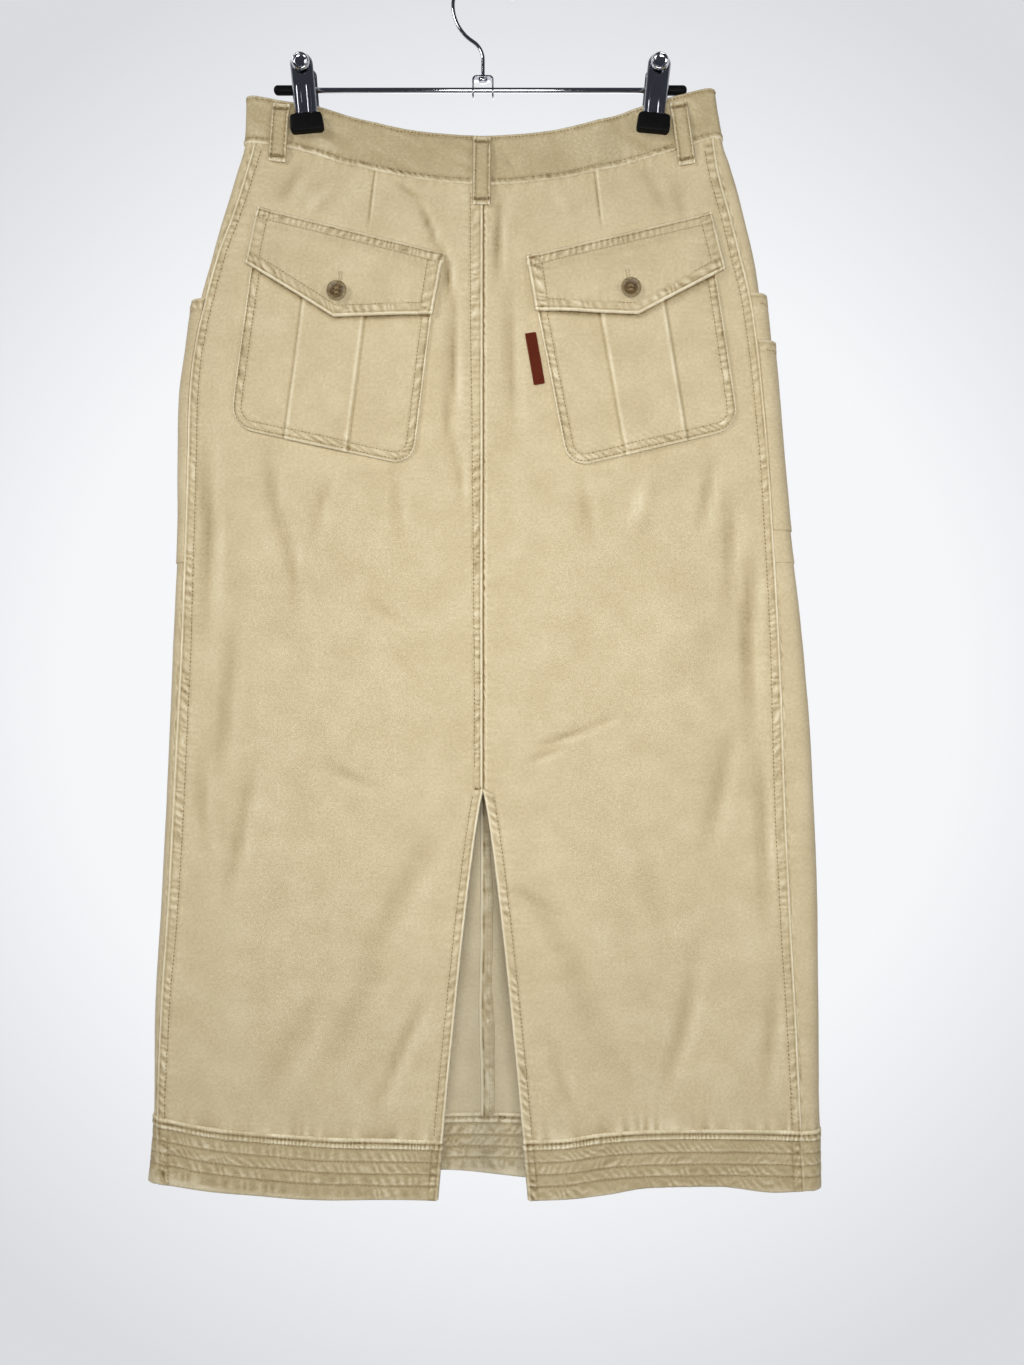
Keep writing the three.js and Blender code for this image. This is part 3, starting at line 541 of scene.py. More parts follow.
class Nodes:
    """A short way to build a material's node tree."""

    def __init__(self, name):
        self.material = bpy.data.materials.new(name)
        self.material.use_nodes = True
        self.tree = self.material.node_tree
        self.shader = self.tree.nodes["Principled BSDF"]

    def node(self, kind, **values):
        made = self.tree.nodes.new(kind)
        for key, value in values.items():
            if key in made.inputs:
                made.inputs[key].default_value = value
            else:
                setattr(made, key, value)
        return made

    def link(self, source, target):
        self.tree.links.new(source, target)

    def math(self, operation, a, b=0.0, clamp=False):
        made = self.tree.nodes.new("ShaderNodeMath")
        made.operation = operation
        made.use_clamp = clamp
        for socket, value in zip(made.inputs, (a, b)):
            if isinstance(value, (int, float)):
                socket.default_value = value
            else:
                self.link(value, socket)
        return made.outputs[0]

    def mix(self, kind, share, a, b):
        made = self.tree.nodes.new("ShaderNodeMix")
        made.data_type = "RGBA"
        made.blend_type = kind
        for name, value in ((0, share), (6, a), (7, b)):
            if isinstance(value, (int, float, tuple)):
                made.inputs[name].default_value = value
            else:
                self.link(value, made.inputs[name])
        return made.outputs[2]

    def scaled(self, source, factor, base):
        made = self.math("MULTIPLY_ADD", source, factor)
        made.node.inputs[2].default_value = base
        return made

    def noise(self, coords, scale, detail=2.0, roughness=0.5):
        made = self.node("ShaderNodeTexNoise", Scale=scale, Detail=detail, Roughness=roughness)
        self.link(coords, made.inputs["Vector"])
        return made.outputs["Fac"]

    def wave(self, coords, scale, distortion, **values):
        made = self.node("ShaderNodeTexWave", Scale=scale, Distortion=distortion, **values)
        self.link(coords, made.inputs["Vector"])
        return made.outputs["Fac"]

    def mapped(self, coords, kind, value):
        made = self.node("ShaderNodeMapping")
        made.inputs[kind].default_value = value
        self.link(coords, made.inputs[0])
        return made.outputs[0]

    def object_place(self):
        return self.node("ShaderNodeTexCoord").outputs["Object"]

    def feed(self, source, socket):
        self.link(source, self.shader.inputs[socket])

    def bump(self, height, strength, distance):
        made = self.node("ShaderNodeBump", Strength=strength, Distance=distance)
        self.link(height, made.inputs["Height"])
        self.feed(made.outputs[0], "Normal")

    def set(self, **values):
        for key, value in values.items():
            self.shader.inputs[key.replace("_", " ")].default_value = value


def srgb(r, g, b):
    """An eye-matched colour as the linear one that the shader takes."""
    linear = (((c / 255 + 0.055) / 1.055) ** 2.4 if c > 10 else c / 255 / 12.92 for c in (r, g, b))
    return (*linear, 1.0)


def twill(name, middle, light, dark, weave_strength=0.25, shift=0.0):
    """Washed cotton twill: a fine diagonal weave, uneven dye, and the painted light and shade of its seams,
    puckers and creases, with some wear.
    """
    n = Nodes(name)
    uv = n.node("ShaderNodeUVMap", uv_map="cloth").outputs[0]
    coords = n.mapped(uv, "Location", (shift, shift * 0.7, 0))
    cloud = n.noise(coords, 34.0, 4.0, 0.62)
    mottle = n.noise(coords, 460.0, 4.0, 0.7)
    grain = n.noise(coords, 1500.0, 3.0, 0.75)
    ribs = n.mapped(coords, "Rotation", (0, 0, math.radians(52)))
    weave = n.wave(ribs, 230.0, 1.4, **{"Detail": 2.0, "Detail Scale": 3.0})

    # the attribute holds painted light and shade with some wear; it is added to the dye cloud
    painted_shade_and_wear = n.node("ShaderNodeAttribute", attribute_name="painted_shade_and_wear").outputs["Fac"]
    patchy = n.math("ADD", n.scaled(painted_shade_and_wear, 0.45, 0.5), n.scaled(cloud, 0.24, -0.12))
    flecks = n.math("ADD", n.scaled(mottle, 0.56, -0.28), n.scaled(grain, 0.8, -0.4))
    total = n.math("ADD", patchy, flecks, clamp=True)
    # the ramp's dark and light ends are the colours of the painted shade and painted highlights as well as of
    # the dye's spread
    ramp = n.node("ShaderNodeValToRGB")
    ramp.color_ramp.elements[0].color = dark
    ramp.color_ramp.elements[1].color = light
    dusky = tuple(0.45 * a + 0.55 * b for a, b in zip(dark, middle))
    for place, colour in ((0.2, dusky), (0.5, middle)):
        ramp.color_ramp.elements.new(place).color = colour
    n.link(total, ramp.inputs[0])
    n.feed(n.mix("MULTIPLY", 1.0, ramp.outputs[0], n.scaled(weave, 0.07, 0.955)), "Base Color")

    n.feed(n.scaled(mottle, 0.14, 0.82), "Roughness")
    height = n.math("ADD", n.math("MULTIPLY", weave, 0.6), n.math("MULTIPLY", grain, 0.8))
    n.bump(n.math("ADD", height, n.math("MULTIPLY", mottle, 0.5)), weave_strength, 0.0004)
    n.set(Sheen_Weight=0.12, Sheen_Roughness=0.5, Specular_IOR_Level=0.18)
    return n.material


def thread_material(name, colour, dark):
    """Spun cotton thread: a ply twist along each stitch."""
    n = Nodes(name)
    place = n.object_place()
    n.feed(n.mix("MIX", n.noise(place, 700.0), dark, colour), "Base Color")
    n.bump(n.wave(place, 900.0, 0.6), 0.3, 0.0001)
    n.set(Roughness=0.72, Sheen_Weight=0.1, Specular_IOR_Level=0.25)
    return n.material


def bright_steel(name, roughness=0.1):
    """Chrome plate with faint wipe marks."""
    n = Nodes(name)
    wipes = n.noise(n.object_place(), 160.0, 5.0, 0.6)
    n.feed(n.mix("MIX", wipes, (0.46, 0.47, 0.5, 1), (0.66, 0.67, 0.7, 1)), "Base Color")
    n.feed(n.scaled(wipes, 0.1, roughness - 0.05), "Roughness")
    n.bump(wipes, 0.06, 0.0002)
    n.set(Metallic=1.0)
    return n.material


def black_rubber(name):
    """Moulded black rubber, a little dusty and worn at random."""
    n = Nodes(name)
    dust = n.noise(n.object_place(), 420.0, 6.0, 0.7)
    n.feed(n.mix("MIX", dust, (0.002, 0.002, 0.002, 1), (0.009, 0.009, 0.009, 1)), "Base Color")
    n.feed(n.scaled(dust, 0.3, 0.34), "Roughness")
    n.bump(dust, 0.15, 0.0003)
    n.set(Specular_IOR_Level=0.06)
    return n.material


def horn_resin(name, light, dark):
    """Horn-look button resin, streaked brown."""
    n = Nodes(name)
    streak = n.mapped(n.object_place(), "Scale", (1, 1, 3.2))
    streak.node.inputs["Rotation"].default_value = (0, 0.6, 0)
    streaks = n.noise(streak, 210.0, 4.0, 0.6)
    ramp = n.node("ShaderNodeValToRGB")
    for element, place, colour in zip(ramp.color_ramp.elements, (0.32, 0.68), (dark, light)):
        element.position, element.color = place, colour
    n.link(streaks, ramp.inputs[0])
    n.feed(ramp.outputs[0], "Base Color")
    n.feed(n.scaled(streaks, 0.2, 0.3), "Roughness")
    n.set(Coat_Weight=0.15, Coat_Roughness=0.3)
    return n.material


def woven_tab(name):
    """A close woven tab in red-brown, bare."""
    n = Nodes(name)
    uv = n.node("ShaderNodeUVMap", uv_map="cloth").outputs[0]
    warp, weft = n.wave(uv, 420.0, 0.8), n.wave(uv, 420.0, 0.8, bands_direction="Y")
    base = n.mix("MIX", n.noise(uv, 420.0, 5.0), srgb(70, 22, 6), srgb(108, 38, 13))
    painted_shade_and_wear = n.node("ShaderNodeAttribute", attribute_name="painted_shade_and_wear").outputs["Fac"]
    # the attribute's painted highlight round the tab's rim mixes in a paler red-brown
    n.feed(n.mix("MIX", n.math("MULTIPLY", painted_shade_and_wear, 0.6, clamp=True), base, srgb(150, 74, 38)), "Base Color")
    n.bump(n.math("ADD", warp, weft), 0.4, 0.0003)
    n.set(Roughness=0.7, Sheen_Weight=0.03, Specular_IOR_Level=0.15)
    return n.material


TWILL = twill("washed_twill", srgb(208, 191, 153), srgb(248, 238, 208), srgb(132, 110, 70))
# A darker copy of the twill for the waistband and hem bands, partly a painted shade for the lesser light on
# them.
BAND_SHADES = (srgb(191, 174, 135), srgb(246, 235, 204), srgb(118, 96, 60))
TWILL_BAND = twill("washed_twill_double", *BAND_SHADES, 0.3, 1.7)
# The topstitch thread is darker than the cloth: its own tone, and partly a painted shade for the needle holes
# along each row.
THREAD = thread_material("topstitch_thread", srgb(164, 142, 100), srgb(128, 106, 68))
OVERLOCK = thread_material("overlock_thread", srgb(226, 214, 182), srgb(180, 164, 126))
STEEL = bright_steel("bright_steel")
RUBBER = black_rubber("clip_rubber")
HORN = horn_resin("button_horn", srgb(160, 143, 106), srgb(100, 82, 50))
HORN_DARK = horn_resin("button_dish", srgb(112, 90, 54), srgb(70, 52, 28))
TAB_CLOTH = woven_tab("tab_weave")

# ------------------------------------------------------------------ cloth pieces


def even(length, step):
    return np.linspace(0, 1, max(2, round(length / step)) + 1)


def station_at(side, walk, z):
    fold, flat = ring(side, z)
    end = flat + math.pi * fold
    seam, start = seam_walk(side, z), back_start(side, z)
    back = (walk - start) / (seam - start)
    over = 1 + (walk - seam) / (end - seam)
    return np.where(walk <= seam, back, np.where(walk <= end, over, 2 + (walk - end) / flat))


def spread(side, first, last, plan, rows, top, bottom):
    """A grid over the tube between two stations: walks, heights, and the walks of its two edges."""
    stations = np.linspace(first, last, len(plan[0]))[None, :] + np.zeros((len(rows), 1))
    for _ in range(3):
        z = lerp(top(side, stations), bottom(side, stations), rows[:, None])
        start = walk_to(side, first, z) + GAP / 2
        end = walk_to(side, last, z) - GAP / 2
        walk = place_columns(plan, start, end)
        stations = station_at(side, walk, z)
    return walk, z, start, end


def place_columns(plan, start, end):
    """The walk of every column: set distances near both edges, even shares between them."""
    kinds, fine_start, fine_end = plan
    placed = np.empty(start.shape)
    for i, (kind, value) in enumerate(kinds):
        if kind == "start":
            placed[:, i] = start[:, i] + value
        elif kind == "end":
            placed[:, i] = end[:, i] - value
        else:
            placed[:, i] = lerp(start[:, i] + fine_start, end[:, i] - fine_end, value)
    return placed


def cut_size(uv):
    """Width, length and area of the flat cut, in metres, from a grid of cloth coordinates."""
    a, c = uv[:-1, :-1], uv[1:, 1:]
    b, d = uv[:-1, 1:], uv[1:, :-1]
    one, two = c - a, d - b
    area = np.abs(one[..., 0] * two[..., 1] - one[..., 1] * two[..., 0]).sum() / 2
    width = np.linalg.norm(np.diff(uv, axis=1), axis=2).sum(1).max()
    length = np.linalg.norm(np.diff(uv, axis=0), axis=2).sum(0).max()
    return width * MM, length * MM, area * MM * MM


SHEETS = []  # each cloth piece, its flat size, and what is sewn to it


def cloth(name, node, frame_of_piece, low, high, relief, uv, material, inside=0.3, pale=0.0):
    """A cloth piece between two offsets from its form. Its inner face carries the seams' painted light and
    shade by the share inside, made paler by a painted light; a seen inner face stands proud where the outer
    one does."""
    base, out = frame_of_piece
    rumple = cockle(uv[..., 0], uv[..., 1], 15, 9.1) + 0.7 * cockle(uv[..., 0], uv[..., 1], 6, 4.2)
    # painted shade on the rumple: its rises painted lighter, its hollows darker
    relief.add(out=0.1 * rumple, shade=0.08 * rumple)
    outer = base + out * (high + relief.out)[..., None]
    under = 0.25 if inside < 0.5 else -0.8
    inner = base + out * (low + under * relief.out)[..., None]
    piece = closed_wall(name, outer, inner, uv, relief.shade, material, inside, pale)
    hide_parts(node)
    SHEETS.append([piece, cut_size(uv), []])
    return piece


def waist_seam(side, station):
    return waist_z("seam", side, station) - GAP / 2


def hem_seam(side, station):
    return hem_z("seam", side, station) + GAP / 2


def fell_width(z):
    """The centre back seam's allowance: stitched down 6 to 10 mm to the left of the seam."""
    return 6.4 + 3.4 * smooth((z + 560) / 400)


DARTS = {"left": ((-80.3, -147), (-85.3, -194)), "right": ((82.8, -146), (88.2, -194))}


def dart(relief, x, z, top, bottom):
    """A waist dart: a sewn fold that dies out at its point."""
    t = np.clip((z - bottom[1]) / (top[1] - bottom[1]), 0, 1.15)
    line = lerp(bottom[0], top[0], t)
    fade = smooth(t * 3) * (z > bottom[1] - 1)
    relief.out += (-0.5 * groove(x - line, 1.0) + 0.3 * groove(x - line - 1.8, 1.4)) * fade
    # painted shadow in the dart's fold and a painted highlight beside it
    relief.shade += (-1.0 * groove(x - line, 0.9) + 0.5 * groove(x - line - 1.7, 0.9)) * fade


def back_panel(side, word):
    rows = even(705, 1.5)
    plan = graded(40, 12, 12, dart=True)
    walk, z, start, end = spread(side, 0, 1, plan, rows, waist_seam, hem_seam)
    x = side * walk
    relief = Relief(z.shape)
    from_centre, from_side = walk - start, end - walk
    vent = z < VENT_TOP
    seed = 40 if side < 0 else 60
    if side < 0:
        fell = np.where(vent, 6.9, fell_width(z))
        relief.seam(z, from_centre, fell, seed, height=0.3, pitch=6.4, ply=0.45, edge=1.2)
        relief.add(out=np.where(vent, 0, 0.45 * groove(from_centre - 0.8, 0.9)))
    else:
        lap = np.where(vent, 6.9, 2.4)
        relief.seam(z, from_centre, lap, seed, height=0.28, pitch=6.8, ply=0.4, edge=0, row=False)
        relief.add(out=np.where(vent, -0.22 * groove(from_centre - 6.9), -0.5 * groove(from_centre, 1.2)))
        # in the vent, a painted highlight on the panel's edge and a dark line at its stitch row; above it, a
        # painted shadow in the seam's gap with a light line beside it
        vent_edge_shade = -0.3 * groove(from_centre - 6.9, 0.9) + 0.7 * groove(from_centre - 0.3, 0.9)
        seam_gap_shade = -1.5 * groove(from_centre - 0.3, 1.0) + 0.5 * groove(from_centre - 2.4, 0.8)
        relief.add(shade=np.where(vent, vent_edge_shade, seam_gap_shade))
    side_row = 7.6 + 1.6 * wander(z, 210, seed + 9)
    relief.seam(z, from_side, side_row, seed + 20, height=0.3, pitch=6.2, ply=0.5, edge=1.15)
    fall = z - hem_seam(side, station_at(side, walk, z))
    ruck = np.sin(2 * math.pi * (x / 6.6 + 0.9 * wander(x, 13, seed + 30)))
    ruck = ruck * (0.6 + 0.5 * wander(x, 23, seed + 33))
    # painted shade on the rucks above the hem seam: rises lighter, hollows darker
    relief.add(out=0.4 * ruck * np.exp(-fall / 9), shade=0.75 * ruck * np.exp(-fall / 6))
    drop = waist_seam(side, station_at(side, walk, z)) - z
    tuck = np.sin(2 * math.pi * (x / 9 + 0.6 * wander(x, 19, seed + 31)))
    # painted shade on the tucks below the waist seam, and a painted shadow right under the waistband
    tuck_shade = 0.22 * tuck * np.exp(-drop / 4) - 0.3 * np.exp(-drop / 1.4)
    relief.add(out=0.16 * tuck * np.exp(-drop / 5), shade=tuck_shade)
    relief.add(shade=crease_painted_shade(-1, x, z))
    dart(relief, x, z, *DARTS[word])
    form, uv = cloth_frame(side, walk, z), np.stack([x, z], -1)
    return cloth("cloth_back_" + word, "back_panel_" + word, form, -CLOTH / 2, CLOTH / 2, relief, uv, TWILL)


def front_panel(side, word):
    rows = even(705, 3.6)
    plan = graded(62, 4, 9)
    walk, z, start, end = spread(side, 1, 3, plan, rows, waist_seam, hem_seam)
    relief = Relief(z.shape)
    seed = 80 if side < 0 else 95
    relief.seam(z, walk - start, 2.2, seed, height=0.2, pitch=6.2, ply=0.0, edge=0.0, row=False)
    # painted shadow along the side seam
    relief.add(shade=-0.3 * groove(walk - start, 0.9))
    if side > 0:
        relief.seam(z, end - walk, 6.6, seed + 5, height=0.28, pitch=6.6, ply=0.4, edge=0.7)
    else:
        # painted shadow in the centre front seam's groove
        relief.add(out=-0.4 * groove(end - walk, 1.2), shade=-0.6 * groove(end - walk, 1))
    along = side * walk
    fall = z - hem_seam(side, station_at(side, walk, z))
    ruck = np.sin(2 * math.pi * (along / 8.2 + 0.5 * wander(along, 16, seed + 30)))
    # painted shade on the rucks above the hem: rises lighter, hollows darker
    relief.add(out=0.3 * ruck * np.exp(-fall / 6.5), shade=0.36 * ruck * np.exp(-fall / 5))
    form, uv = cloth_frame(side, walk, z), np.stack([along, z], -1)
    name, node = "cloth_front_" + word, "front_panel_" + word
    # the inner face, seen through the vent, is painted paler: a painted light
    return cloth(name, node, form, -CLOTH / 2, CLOTH / 2, relief, uv, TWILL, pale=0.45)


HEM_ROWS = (7.2, 16.2, 25.2, 33.6)  # stitch rows, down from the band's seam


def hem_relief(relief, along, down, seed):
    """A band quilted flat with four rows, gathered a little between each two."""
    edges = (0.0, *HEM_ROWS, 43.5)
    for i, (upper, lower) in enumerate(zip(edges, edges[1:])):
        inside = (down >= upper) & (down < lower)
        pitch, weight = (3.0, 1.0) if i == 0 else (5.2 + 0.9 * i, 0.5)
        slant = 0.3 if i == 0 else 1.9 * float(wander(i, 1, seed + 5))
        puckers = rope(along, np.where(inside, down - upper, 0), lower - upper, seed + 11 * i, pitch, slant)
        # painted shade: each gathered pucker painted light on its rise and dark between, the band a little
        # darker
        relief.add(out=0.5 * weight * puckers * inside, shade=weight * (1.0 * puckers - 0.12) * inside)
    for i, row in enumerate(HEM_ROWS):
        relief.stitch_line(along, down - row, seed + 50 + i, depth=0.4, tone=0.55)
        # a painted highlight just above each stitch row
        relief.add(shade=0.3 * groove(down - row + 1.6, 1.0))
    # painted highlights on the seam's ridge and the turned edge below it, a painted shadow between, and a
    # painted highlight along the hem's folded foot
    patchy = 0.75 + 0.3 * wander(along, 9, seed + 70)
    relief.add(out=0.4 * groove(down - 0.6, 1.3) + 0.3 * groove(down - 5, 1.5))
    ridge_highlights = 1.4 * groove(down - 0.5, 0.8) + 1.1 * groove(down - 5.2, 0.8)
    relief.add(shade=patchy * (ridge_highlights - 1.0 * groove(down - 2.2, 0.8)))
    relief.add(shade=0.5 * patchy * np.exp(-np.maximum(43 - down, 0) / 1.2))


def hem_band(name, node, columns_side, columns_station, trims, seed):
    rows = even(45, 1.15)[:, None]
    one_side = len(set(columns_side)) == 1
    side, station = np.array(columns_side, float)[None, :], np.array(columns_station, float)[None, :]
    top, bottom = hem_z("seam", side, station) - GAP / 2, hem_z("bottom", side, station)
    z = lerp(top, bottom, rows)
    walk = walk_to(side, station, z)
    walk[:, 0] += trims[0]
    walk[:, -1] += trims[1]
    relief = Relief(z.shape)
    along = side * walk + 0 * z
    hem_relief(relief, along, top - z, seed)
    if one_side:
        from_vent, from_side = walk - walk[:, :1], walk[:, -1:] - walk
        relief.seam(z, from_vent, 6.9, seed + 80, height=0.2, pitch=6.4, ply=0.35, edge=0.9)
        relief.seam(z, from_side, 8.4, seed + 90, height=0.2, pitch=6.4, ply=0.35, edge=0.8)
    form = cloth_frame(side + 0 * z, walk, z)
    half = walk.mean(0)
    across = side * walk if one_side else np.where(side < 0, half - half.max(), half.max() - half)
    uv = np.stack([across + 0 * z, z], -1)
    # the front band's inner face shows, so it takes more of the painted shade and a painted light
    inside, pale = (0.3, 0.0) if one_side else (1.2, 0.4)
    return cloth(name, node, form, -BAND / 2, BAND / 2, relief, uv, TWILL_BAND, inside, pale)


def hem_bands():
    made = []
    for side, word in ((-1, "left"), (1, "right")):
        stations = even(222, 1.15)
        name, node, trims = "hem_back_" + word, "hem_band_back_" + word, (GAP / 2, -GAP / 2)
        made.append(hem_band(name, node, [side] * len(stations), stations, trims, 110 + side))
    around = np.concatenate([np.linspace(1, 2, 22), np.linspace(2, 3, 124)[1:]])
    sides = [-1] * len(around) + [1] * (len(around) - 1)
    stations = np.concatenate([around, around[::-1][1:]])
    made.append(hem_band("hem_front", "hem_band_front", sides, stations, (GAP / 2, GAP / 2), 131))
    return made


def waistband():
    past = LAP / WAIST_HALF
    back, over, front = np.linspace(0, 1, 86), np.linspace(1, 2, 9)[1:], np.linspace(2, 3, 78)[1:]
    half = np.concatenate([back, over, front])
    lap = np.linspace(0, past, 16)[1:]
    side = np.concatenate([-np.ones(len(half)), np.ones(len(half) - 1), -np.ones(len(lap))])[None, :]
    station = np.concatenate([half[::-1], half[1:], 3 - lap])[None, :]
    rows = even(35, 1.15)[:, None]
    top, bottom = waist_z("top", side, station), waist_z("seam", side, station) + GAP / 2
    z = lerp(top, bottom, rows)
    walk = walk_to(side, station, z)
    centre_front = len(half) * 2 - 2
    walk[:, 0] -= 3
    column = np.arange(side.shape[1])[None, :]
    run = walk.mean(0)
    along = np.where(column < len(half) - 1, -run, run)
    along = np.where(column > centre_front, 2 * run[centre_front] - run, along) + 0 * z
    climb = smooth(1 - (run[centre_front] - run[None, :]) / 12)
    lapping = np.where(column >= len(half), climb, 0.0)
    over_start = np.where(column >= centre_front, 1.0, lapping) * (BAND + LIFT)
    relief = Relief(z.shape)
    down, up = top - z, z - bottom
    relief.seam(along, down, 2.7, 150, height=0.2, pitch=5.2, ply=0.25, edge=0.55)
    relief.seam(along, up, 4.2, 160, height=0.26, pitch=5.8, ply=0.35, edge=1.0)
    ripple = wander(along, 13, 171) * wander(along + 2 * z, 9, 172)
    soft = cockle(along, z, 31, 8.1)
    # painted shade on the ripples: rises lighter, hollows darker
    relief.add(out=0.4 * ripple + 0.3 * soft, shade=0.3 * ripple + 0.12 * soft)
    form, uv = cloth_frame(side + 0 * z, walk, z), np.stack([along, z], -1)
    low, high = over_start - BAND / 2, over_start + BAND / 2
    return cloth("band_waist", "waistband", form, low, high, relief, uv, TWILL_BAND)


# ------------------------------------------------------------------ patches on a face

ON_PANEL = CLOTH / 2 + LIFT
PLEAT, FLAP, FLAP_STRIP, BAG_CORNER = 1.3, 1.9, 12, 17
BACK_POCKETS = {
    "left": dict(
        bag=[(-167.8, -190), (-33.5, -226.5), (-51, -370), (-187.2, -339)],
        pleat=(0.3, 0.642),
        flap=[(-166.8, -176.1), (-28.8, -213.2), (-37, -258.4), (-175.2, -217.8)],
        tip=(-109.4, -259.4),
        button=(-106.6, -241.6),
        hole=(-104.1, -227.8),
    ),
    "right": dict(
        bag=[(35.4, -230), (168.5, -195.5), (190, -340.3), (63, -371.5)],
        pleat=(0.335, 0.693),
        flap=[(32.7, -215.7), (169.2, -180.4), (179.4, -222), (39.5, -255.6)],
        tip=(114.2, -257.6),
        button=(108.7, -239.5),
        hole=(106.3, -225.7),
    ),
}


def bilinear(corners, s, t):
    tl, tr, br, bl = (np.array(c) for c in corners)
    s, t = np.broadcast_arrays(s, t)
    s, t = s[..., None], t[..., None]
    return lerp(lerp(tl, tr, s), lerp(bl, br, s), t)


def distance_inside(points, a, b):
    """How far points lie to the right of the line from a to b, seen with +X right and +Z up."""
    a, b = np.array(a, float), np.array(b, float)
    along = (b - a) / np.linalg.norm(b - a)
    return (points[..., 0] - a[0]) * along[1] - (points[..., 1] - a[1]) * along[0]


def fine_ended(count):
    """Shares across a patch, close together within a fiftieth of each edge."""
    middle = np.linspace(0.02, 0.98, count)[1:-1]
    return np.concatenate([np.linspace(0, 0.02, 6), middle, np.linspace(0.98, 1, 6)])


def corner_cut(s, width, radius):
    edge = np.minimum(s, 1 - s) * width
    reach = np.clip(radius - edge, 0, radius)
    return radius - np.sqrt(radius**2 - reach**2)


def back_pocket(word):
    shape = BACK_POCKETS[word]
    tl, tr, br, bl = shape["bag"]
    width, height = math.dist(bl, br), math.dist(tl, bl)
    pleat0, pleat1 = shape["pleat"]
    s, t = fine_ended(112)[None, :], even(height, 1.35)[:, None]
    grid = bilinear(shape["bag"], s, t * (1 - corner_cut(s, width, BAG_CORNER) / height))
    x, z = grid[..., 0], grid[..., 1]
    left, right = distance_inside(grid, bl, tl), distance_inside(grid, tr, br)
    foot = distance_inside(grid, br, bl)
    nearest = np.minimum(np.minimum(left, right), foot)
    for one in (left, right):
        corner = (one < BAG_CORNER) & (foot < BAG_CORNER)
        rounded = BAG_CORNER - np.hypot(BAG_CORNER - one, BAG_CORNER - foot)
        nearest = np.where(corner, rounded, nearest)
    along = z + 0.9 * x * (foot < np.minimum(left, right))
    relief = Relief(x.shape)
    seed = 200 if word == "left" else 230
    relief.seam(along, nearest, 7.4, seed, height=0.26, pitch=6.4, ply=0.5, edge=0.95)
    relief.stitch_line(along, nearest - 1.7, seed + 3, depth=0.16, tone=0.3)
    share = s + 0 * t
    on_pleat = smooth((share - pleat0) * width / 1.2 + 0.5) * smooth((pleat1 - share) * width / 1.2 + 0.5)
    relief.add(out=(PLEAT - 0.15) * on_pleat)
    for k, (place, sign) in enumerate(((pleat0, 1), (pleat1, -1))):
        past = (share - place) * width * sign
        # a painted highlight along each pleat's fold and a painted shadow just outside it
        patchy = 0.75 + 0.35 * wander(z, 12, seed + 60 + k)
        relief.add(shade=0.75 * patchy * groove(past - 1.3, 1.1) - 0.7 * groove(past + 0.9, 0.9))
        relief.add(out=0.22 * groove(past - 1.6, 1.5) * (1 + 0.5 * wander(z, 15, seed + 70 + k)))
    middle = (share - (pleat0 + pleat1) / 2) * width
    relief.add(out=-0.25 * groove(middle - 1.5 * wander(z, 40, seed + 80), 7) * smooth((z - bl[1]) / 30))
    soft = cockle(x, z, 21, 5.5 + seed)
    # a faint painted shade on the soft rumple
    relief.add(out=0.3 * soft * smooth(nearest / 9), shade=0.05 * soft)
    _, _, flap_right, flap_left = shape["flap"]
    tip = shape["tip"]
    hidden = np.maximum(distance_inside(grid, flap_left, tip), distance_inside(grid, tip, flap_right))
    # painted shadow on the bag under the flap, fading out just below the flap's edge
    relief.add(shade=-0.9 * np.exp(-((np.maximum(hidden, 0) / 2.6) ** 2)))
    relief.out *= lerp(0.25, 1, smooth((hidden + 3) / 3))
    low = np.full(x.shape, ON_PANEL)
    name, node = "pocket_back_" + word, "back_pocket_" + word
    return cloth(name, node, face_frame(-1, x, z), low, low + CLOTH, relief, grid, TWILL)


def flap_grid(shape, s, t):
    """t runs 0 to 1 down the sewn strip, then 1 to 2 down to the edge."""
    tl, tr, br, bl = (np.array(c, float) for c in shape["flap"])
    tip = np.array(shape["tip"], float)
    tip_share = (tip[0] - bl[0]) / (br[0] - bl[0])
    s, t = np.broadcast_arrays(s, t)
    upper = lerp(tl, tr, s[..., None])
    before = lerp(bl, tip, (s / tip_share)[..., None])
    after = lerp(tip, br, ((s - tip_share) / (1 - tip_share))[..., None])
    foot = np.where((s < tip_share)[..., None], before, after)
    strip = (FLAP_STRIP / np.linalg.norm(foot - upper, axis=-1))[..., None]
    t = t[..., None]
    return lerp(upper, foot, np.where(t < 1, t * strip, lerp(strip, 1, t - 1)))


